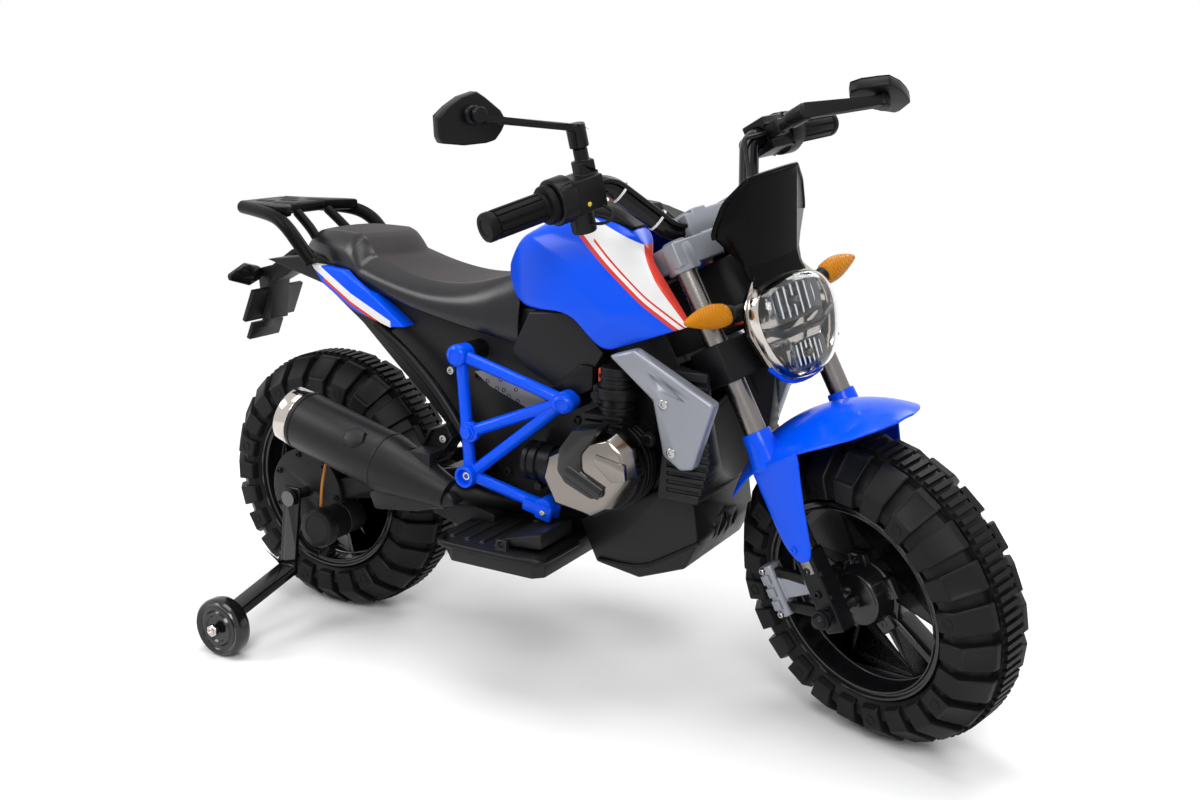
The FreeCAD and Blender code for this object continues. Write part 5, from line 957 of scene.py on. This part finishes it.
# front signals: leaf-shaped lenses on short black stems; rows of distance from the middle, low, high, half depth
signalForm = {
    "lead": 50, "steps": 14, "levels": 1,
    "rows": [(71, 313, 333, 7), (74, 311.5, 335.5, 9.5), (86, 311.5, 339, 11), (98, 314, 340, 10), (111, 319, 338, 7.5),
             (122, 324, 334.5, 4.5), (129, 327.5, 331.5, 1.8)],
}
stemForm = {"spins": [([(5, -26), (5.5, -8), (8.5, -4), (9.5, 0), (9, 2), (0, 2)], (signalForm["lead"], -71, 323),
                       toRight, 20)]}


def buildSignals():
    bm = bmesh.new()
    rows = []
    for out, low, high, deep in signalForm["rows"]:
        angles = [2 * math.pi * step / signalForm["steps"] for step in range(signalForm["steps"])]
        rows.append([Vector((signalForm["lead"] + deep * math.cos(angle), -out,
                             (low + high) / 2 + (high - low) / 2 * math.sin(angle))) * mm for angle in angles])
    chains = loft(bm, rows, closed=True)
    for end in (chains[0], chains[-1]):
        bmesh.ops.contextual_create(bm, geom=end)
    mirrored(bm)
    addPiece("frontSignalLenses", bm, amberLens, "front_signals", True, steered, sharp=60, levels=signalForm["levels"])
    addTrim("frontSignalStems", switchBlack, "front_signals", stemForm, steered, both=True)


buildSignals()

# bar: cable ties, a lamp on the switch box, a short lead under it and a pivot ring on the mirror arm
tieForm = {"low": (5, -56, 424), "high": (-2, -105, 496), "shares": (0.25, 0.8), "ahead": 1.2, "stretch": 1.1,
           "steps": 32, "profile": [(11.2, -1.2), (12.2, -1.2), (12.2, 1.2), (11.2, 1.2)]}
switchFace = (0.91, -0.42, -0.01)
lampForm = {"spins": [([(2.4, -0.5), (2.4, 0.6), (1.6, 1.4), (0, 1.7)], (85.1, -135.0, 564.4), switchFace, 14)]}
leadForm = {"pipes": [([(5, -126.7, 474), (13, -123, 463), (9, -131, 454), (-9, -140.6, 462)], 1.7, 10)]}
pivotForm = {"spins": [([(9.6, -5), (9.6, 2), (8.6, 3.4), (6.4, 3.6), (5.6, 1.6), (3.6, 1.6), (3.2, 2.6), (0, 2.6)],
                        (-2.0, -210.5, 651.0), switchFace, 28)]}


def buildTies():
    form = tieForm
    low, high = Vector(form["low"]), Vector(form["high"])
    run = (high - low).normalized()
    ahead = (Vector((1, 0, 0)) - run * run.x).normalized()
    turn = Matrix((ahead, run.cross(ahead), run)).transposed().to_4x4() @ Matrix.Diagonal((form["stretch"], 1, 1, 1))
    bm = bmesh.new()
    for share in form["shares"]:
        spun(bm, form["profile"], moved(*low.lerp(high, share) + ahead * form["ahead"]) @ turn, form["steps"], True)
    addPiece("cableTies", bm, tieWhite, "control_cables", place=steered, sharp=40)


buildTies()
addTrim("switchLamp", ledYellow, "throttle_housing", lampForm, sharp=35)
addTrim("switchLead", switchBlack, "control_cables", leadForm, steered, sharp=35)
addTrim("mirrorPivotRing", switchBlack, "mirror_arm_right", pivotForm)
print("wheels, fork and bar trimmed")

# luggage rack: plate with sunk slots on two bent rails
rackForm = {
    "plan": [(-489, 34), (-482, 42), (-400, 69), (-384, 68), (-388, 54), (-408, 32)],
    "low": 515, "high": 528, "round": 3.0,
    "rails": [(-484, 38, 520), (-440, 55, 519), (-396, 72, 516), (-372, 79, 505), (-354, 80, 487), (-337, 78, 466)],
    "braces": [(-402, 28, 517), (-380, 30, 500), (-366, 33, 486)], "rail": 8.5, "brace": 6.0,
    "slots": [(-460, -22), (-460, 22), (-442, 0), (-424, -30), (-424, 30)], "slotHalf": (12, 5.5), "slotRound": 4.0,
    "slotRoot": 1, "slotProud": 0.5, "slotRim": 1.2, "slotSink": 1.4,
}


def buildRack():
    form = rackForm
    bm = bmesh.new()
    half = form["plan"]
    slab(bm, half + [(x, -y) for x, y in reversed(half)], form["low"], form["high"], form["round"], plan=True)
    for side in (-1, 1):
        for spots, radius in ((form["rails"], form["rail"]), (form["braces"], form["brace"])):
            pipe(bm, [(x, side * y, z) for x, y, z in spots], radius)
    addPiece("luggageRackRails", bm, rackBlack, "luggage_rack", True, sharp=40)
    bm = bmesh.new()
    long, wide = form["slotHalf"]
    for x, y in form["slots"]:
        before = set(bm.faces)
        block(bm, (x - long, y - wide, form["high"] - form["slotRoot"]),
              (x + long, y + wide, form["high"] + form["slotProud"]), form["slotRound"])
        lid = max(newFaces(bm, before), key=lambda face: face.normal.z * face.calc_area())
        bmesh.ops.inset_region(bm, faces=[lid], thickness=form["slotRim"] * mm, depth=-form["slotSink"] * mm)
    addPiece("luggageRackSlots", bm, tyreRubber, "luggage_rack", sharp=40)


buildRack()

# engine: stepped bright cover, black hook over it, fins, intake and collars, on both sides
coverForm = {
    "outline": [(35, 275), (50.5, 245), (98, 238), (118, 250), (146, 290), (140, 318), (121.6, 333), (80.5, 322),
                (41.7, 300)],
    "centre": (90, 285), "steps": [(-116, 0.98), (-120, 1.0), (-138, 1.0), (-147, 0.92), (-150, 0.9), (-152.5, 0.84)],
    "facet": ([(104, 312), (139, 305), (141, 288), (124, 284), (104, 300)], -148, -154.5, 1.6), "round": 1.0,
    "crisp": 25,
}
hookForm = {
    "slabs": [([(110, 340), (78, 334), (62, 312), (59, 288), (69, 275), (101, 262), (116, 267), (117, 276), (89, 291),
                (88, 308), (104, 327)], -126, -157, 4.0)],
    "pipes": [([(72, -156.5, 289), (92, -156.5, 280), (113, -156.5, 270)], 7.0, 16, 0.45)],
}
barrel, intake = (90, 0, 284), (96, -92, 0)
fittingForm = {
    "bands": [(barrel, toLeft, 46, out, 3.2, 3.0) for out in (-82, -90, -98, -106)]
             + [(intake, toUp, 18, height, 3.4, 1.8) for height in (346, 364, 372, 380)],
    "blocks": [((64, -111, 328), (113, -72, 333), 1.4), ((64, -111, 335), (113, -72, 341), 1.4),
               ((70, -101, 349), (89, -78, 371), 3.0)],
    "rods": [((76, -98, 360), (76, -106, 360), 5), ((138, -70, 319), (138, -100, 319), 8.5),
             ((-2, -84, 243), (-2, -96, 243), 5, 6), ((25, -70, 246), (25, -82, 246), 5, 6)],
    "bolts": [((84, -101, 355), toRight, 3.4, 3), ((138, -99.5, 319), toRight, 6.5, 3.5)],
    "spins": [([(20, -10), (20, 5), (22.5, 6), (22.5, 13), (20.8, 14), (20.8, 16), (22.5, 17), (22.5, 22.5), (18, 23.5),
                (17, 20), (0, 20)], (6, -87, 270), toBack, 36)],
}
plugForm = {"blocks": [((76, -99, 373), (84, -86, 389), 1.6)]}


def buildCover():
    form = coverForm
    bm = bmesh.new()
    middle = Vector(form["centre"])
    rows = []
    for out, scale in form["steps"]:
        spots = [middle + (Vector(spot) - middle) * scale for spot in form["outline"]]
        rows.append([Vector((spot.x, out, spot.y)) * mm for spot in spots])
    chains = loft(bm, rows, closed=True)
    bmesh.ops.contextual_create(bm, geom=chains[-1])
    outward(bm)
    softEdges(bm, bm.faces[:], form["round"])
    slab(bm, *form["facet"])
    mirrored(bm)
    addPiece("engineCoverSteps", bm, coverChromeShadedCopy, "engine_covers", True, sharp=form["crisp"])


buildCover()
addTrim("engineHooks", hookBlack, "engine_inserts", hookForm, both=True, stands=True)
addTrim("engineFittings", switchBlack, "engine_cylinders", fittingForm, both=True)
addTrim("enginePlugs", redPlastic, "engine_cylinders", plugForm, both=True, sharp=35)

# trellis: caps, cups and toe lugs at its knots, and the bolts of the frame and shrouds
toe = moved(6, -100, 221) @ turned("Y", 12)
capProfile = [(12.6, -6), (12.6, 3), (11, 5.6), (7, 7), (6.4, 6.2), (0, 6.2)]
capForm = {
    "spins": [(capProfile, (-101, -107, 383), toRight, 28),
              (capProfile, (38, -107, 346), (0.25, -1, 0), 28, False, (1.05, 0.85)),
              ([(9, -5), (9, 3), (7.4, 4), (7, 7), (0, 7)], (-87, -107, 296), toRight, 6),
              ([(8.6, 0), (12.8, -4), (13, 7), (12, 8.4), (9.4, 8.4), (8.6, 7)], (-90, -106, 244), toRight, 28, True)],
    "blocks": [((-20, -10, -7), (16, 10, 7), 2.4, toe), ((-2, -12, -9), (19, -4.5, 9), 3.0, toe),
               ((-2, 4.5, -9), (19, 12, 9), 3.0, toe)],
}
frameBoltForm = {"bolts": [((-90, -105, 244), toRight, 5.5, 4), ((9, -12, 0), toRight, 3.6, 1.6, toe),
                           ((-141, -62, 353), toRight, 5.4, 5), ((163, -115.4, 364), toRight, 5.2, 2.4),
                           ((173, -115.4, 314), toRight, 5.2, 2.4)]}
addTrim("trellisCaps", bluePaint, "trellis_frame_right", capForm, both=True)
addTrim("frameBolts", boltSteel, "trellis_frame_right", frameBoltForm, both=True)

# shell sides: a drilled plate, an air box, sills, struts, screw heads and the rim of the footboards
plateForm = {"slabs": [([(-108, 356), (-94, 359), (-64, 357), (-4, 331), (-36, 322), (-86, 341)], -61, -65.5, 1.0)]}
holeProfile = [(2.5, -0.4), (2.5, 0.4), (1.9, 0.4), (1.6, -0.3), (0, -0.3)]
holeSpots = [(-89, 347), (-71, 351), (-76, 340), (-67, 339), (-50, 342), (-60, 333), (-48, 329)]
sideForm = {
    "spins": [(holeProfile, (x, -65.5, z), toRight, 12) for x, z in holeSpots],
    "bolts": [((x, -62, z), toRight, 5, 3) for x, z in ((-104, 351), (-63, 242), (29, 316))],
    "slabs": [([(10, 356), (50, 388), (66, 388), (66, 362), (38, 348), (16, 352)], -80, -93, 4.0),
              ([(-150, 207), (-95, 207), (-60, 199), (-60, 170), (-100, 172), (-150, 186)], -66, -96, 4.0)],
    "pipes": [([(-238, -80, 400), (-189, -80, 366), (-146, -80, 327), (-112, -80, 282)], 6.5),
              ([(-93, -76, 184), (-93, -150, 184), (-86, -168, 184), (-60, -169, 184), (38, -169, 184), (47, -160, 184),
                (47, -92, 184)], 4.0),
              ([(188, -73, 206), (150, -75, 182), (118, -75, 163), (66, -75, 164)], 2.2)],
    "rods": [((-232, -80, 396), (-232, -58, 396), 6.5), ((-116, -80, 288), (-116, -58, 288), 6.5)],
}
addTrim("sidePlates", greyPlate, "body_shell_right", plateForm, both=True)
addTrim("sideFittings", switchBlack, "body_shell_right", sideForm, both=True)

# exhaust and drive: bands and a six-sided plate on the muffler, its cupped bracket, motor cap, fins, leads and nuts
mufflerForm = {
    "bands": [((-330, -110, 277), (134, 0, -36), 36, start, 4, 1.0) for start in (2, 128)],
    "hexes": [((-229.5, -136.4, 276), (0.18, -0.72, 0.67), 15, 12, 6, 1.6, (1.15, 0.95))],
    "slabs": [([(-173, 250), (-153, 287), (-129, 295), (-120, 281), (-144, 249)], -64, -93, 1.4, 9),
              ([(-222, 206), (-214, 186), (-153, 194), (-96, 211), (-104, 224), (-190, 226)], -84, -124, 4.0)],
}
mufflerBoltForm = {"bolts": [((-137, -83.5, 276), toRight, 5.5, 6)]}
caseBolts = {"count": 7, "radius": 49, "out": -76.8}
boltAngles = [2 * math.pi * index / caseBolts["count"] for index in range(caseBolts["count"])]
hubX, _, hubZ = rearWheel["centre"]
motorCap = [(24.6, -9), (24.6, 1), (22.5, 4.5), (17.5, 5.6), (16.8, 4.6), (0, 4.6)]
finSpots = [(-374, 112), (-362, 97), (-341, 91)]
driveForm = {
    "spins": [(motorCap, (-305.5, -119.6, 144.5), toRight, 36)],
    "slabs": [([(-388, 128), (-340, 124), (-322, 104), (-334, 88), (-366, 90), (-384, 108)], -62, -84, 3.0)],
    "pipes": [([(x + step, -84.6, z + step) for x, z in finSpots], 2.2, 10) for step in (0, 5, 10)],
    "bolts": [((hubX + caseBolts["radius"] * math.cos(angle), caseBolts["out"],
                hubZ + caseBolts["radius"] * math.sin(angle)), toRight, 3.8, 3) for angle in boltAngles],
}
motorLeadForm = {"pipes": [([(-300, -108, 228), (-305, -112, 198), (-311, -109, 163)], 1.7, 10)]}
nutForm = {"hexes": [((trainerX, -trainerY - 17, trainerZ), toRight, 8.6, 7.8, 5, 0.8)],
           "bolts": [((trainerX, -trainerY - 19, trainerZ), toRight, 5, 2.6)]}
addTrim("mufflerTrim", bodyBlack, "muffler", mufflerForm)
addTrim("mufflerBolt", boltSteel, "muffler", mufflerBoltForm)
addTrim("driveTrim", switchBlack, "gearbox_case", driveForm)
addTrim("motorLead", wireOrange, "drive_motor", motorLeadForm, sharp=35)
addTrim("trainerNuts", chromePlate, "training_stays", nutForm, both=True, sharp=30)
print("rack, engine, frame and rear trimmed")

# studio: pale floor and soft lamps, each with its place, size and power
stageLook = {
    "floorReach": 9.0, "floorDrop": -0.0004, "floorSteps": 96, "floor": (0.92, 0.92, 0.92), "mottle": 0.985,
    "fadeStart": 1.1, "fadeEnd": 2.6, "sky": 0.5, "lampAim": (0, 0, 0.3),
    "lamps": [((1.6, -2.6, 2.6), 1.3, 66), ((-2.2, -1.6, 2.4), 1.2, 36), ((0.4, 2.4, 2.8), 1.6, 40),
              ((0, -0.2, 3.2), 1.8, 52)],
}


def seenShare(wire):
    # rays that show the backdrop itself: the camera's, mirror ones and those through glass
    path = wire.make("LightPath", {}, {}, "Is Camera Ray")
    return wire.sum("MINIMUM", path + path.beside("Is Glossy Ray") + path.beside("Is Transmission Ray"), 1.0)


def buildFloor():
    bm = bmesh.new()
    bmesh.ops.create_circle(bm, cap_ends=True, segments=stageLook["floorSteps"], radius=stageLook["floorReach"])
    bmesh.ops.translate(bm, vec=(0, 0, stageLook["floorDrop"]), verts=bm.verts)
    mesh = bpy.data.meshes.new("studioFloor")
    bm.to_mesh(mesh)
    bm.free()
    floor = bpy.data.objects.new("studioFloor", mesh)
    bpy.context.scene.collection.objects.link(floor)
    material = bpy.data.materials.new("floorPale")
    material.use_nodes = True
    wire = Wire(material.node_tree)
    spot = wire.make("TexCoord", {}, {}, "Object")
    reach = wire.make("VectorMath", {"operation": "LENGTH"}, {0: spot}, "Value")
    fade = wire.make("MapRange", {"interpolation_type": "SMOOTHSTEP"},
                     {"Value": reach, "From Min": stageLook["fadeStart"], "From Max": stageLook["fadeEnd"]})
    mottle = wire.make("TexNoise", {}, {"Vector": spot, "Scale": 3.0, "Detail": 3.0})
    pale = stageLook["floor"]
    tint = mottle.blend(rgba([part * stageLook["mottle"] for part in pale]), rgba(pale))
    matt = wire.make("BsdfDiffuse", {}, {"Color": tint})
    glow = wire.make("Emission", {}, {"Color": (1, 1, 1, 1), "Strength": seenShare(wire)})
    mix = wire.make("MixShader", {}, {0: fade, 1: matt, 2: glow})
    wire.feed(material.node_tree.nodes["Material Output"], {"Surface": mix})
    mesh.materials.append(material)


def buildLight():
    world = bpy.data.worlds.new("studioWorld")
    world.use_nodes = True
    bpy.context.scene.world = world
    wire = Wire(world.node_tree)
    strength = seenShare(wire) * (1.0 - stageLook["sky"]) + stageLook["sky"]
    wire.feed(world.node_tree.nodes["Background"], {"Color": (1, 1, 1, 1), "Strength": strength})
    for index, (spot, size, power) in enumerate(stageLook["lamps"]):
        lamp = bpy.data.lights.new("softbox%d" % index, "AREA")
        lamp.size = size
        lamp.energy = power
        holder = bpy.data.objects.new("softbox%d" % index, lamp)
        holder.location = spot
        holder.rotation_euler = (Vector(stageLook["lampAim"]) - Vector(spot)).to_track_quat("-Z", "Y").to_euler()
        bpy.context.scene.collection.objects.link(holder)


view = {"spot": (0.7515, -1.2760, 0.6944), "aim": (0.02716, -0.00853, 0.32799), "roll": 0.64, "lens": 39.423,
        "sensor": 36.0}


def buildCamera():
    data = bpy.data.cameras.new("photoView")
    data.lens = view["lens"]
    data.sensor_width = view["sensor"]
    data.sensor_fit = "HORIZONTAL"
    camera = bpy.data.objects.new("photoView", data)
    back = (Vector(view["spot"]) - Vector(view["aim"])).normalized()
    right = Vector(toUp).cross(back).normalized()
    up = back.cross(right)
    roll = math.radians(view["roll"])
    rolledRight = right * math.cos(roll) + up * math.sin(roll)
    rolledUp = up * math.cos(roll) - right * math.sin(roll)
    turn = Matrix((rolledRight, rolledUp, back)).transposed().to_4x4()
    camera.matrix_world = Matrix.Translation(view["spot"]) @ turn
    bpy.context.scene.collection.objects.link(camera)
    bpy.context.scene.camera = camera


buildFloor()
buildLight()
buildCamera()
bpy.context.scene.view_settings.view_transform = "Standard"
print("stage set")
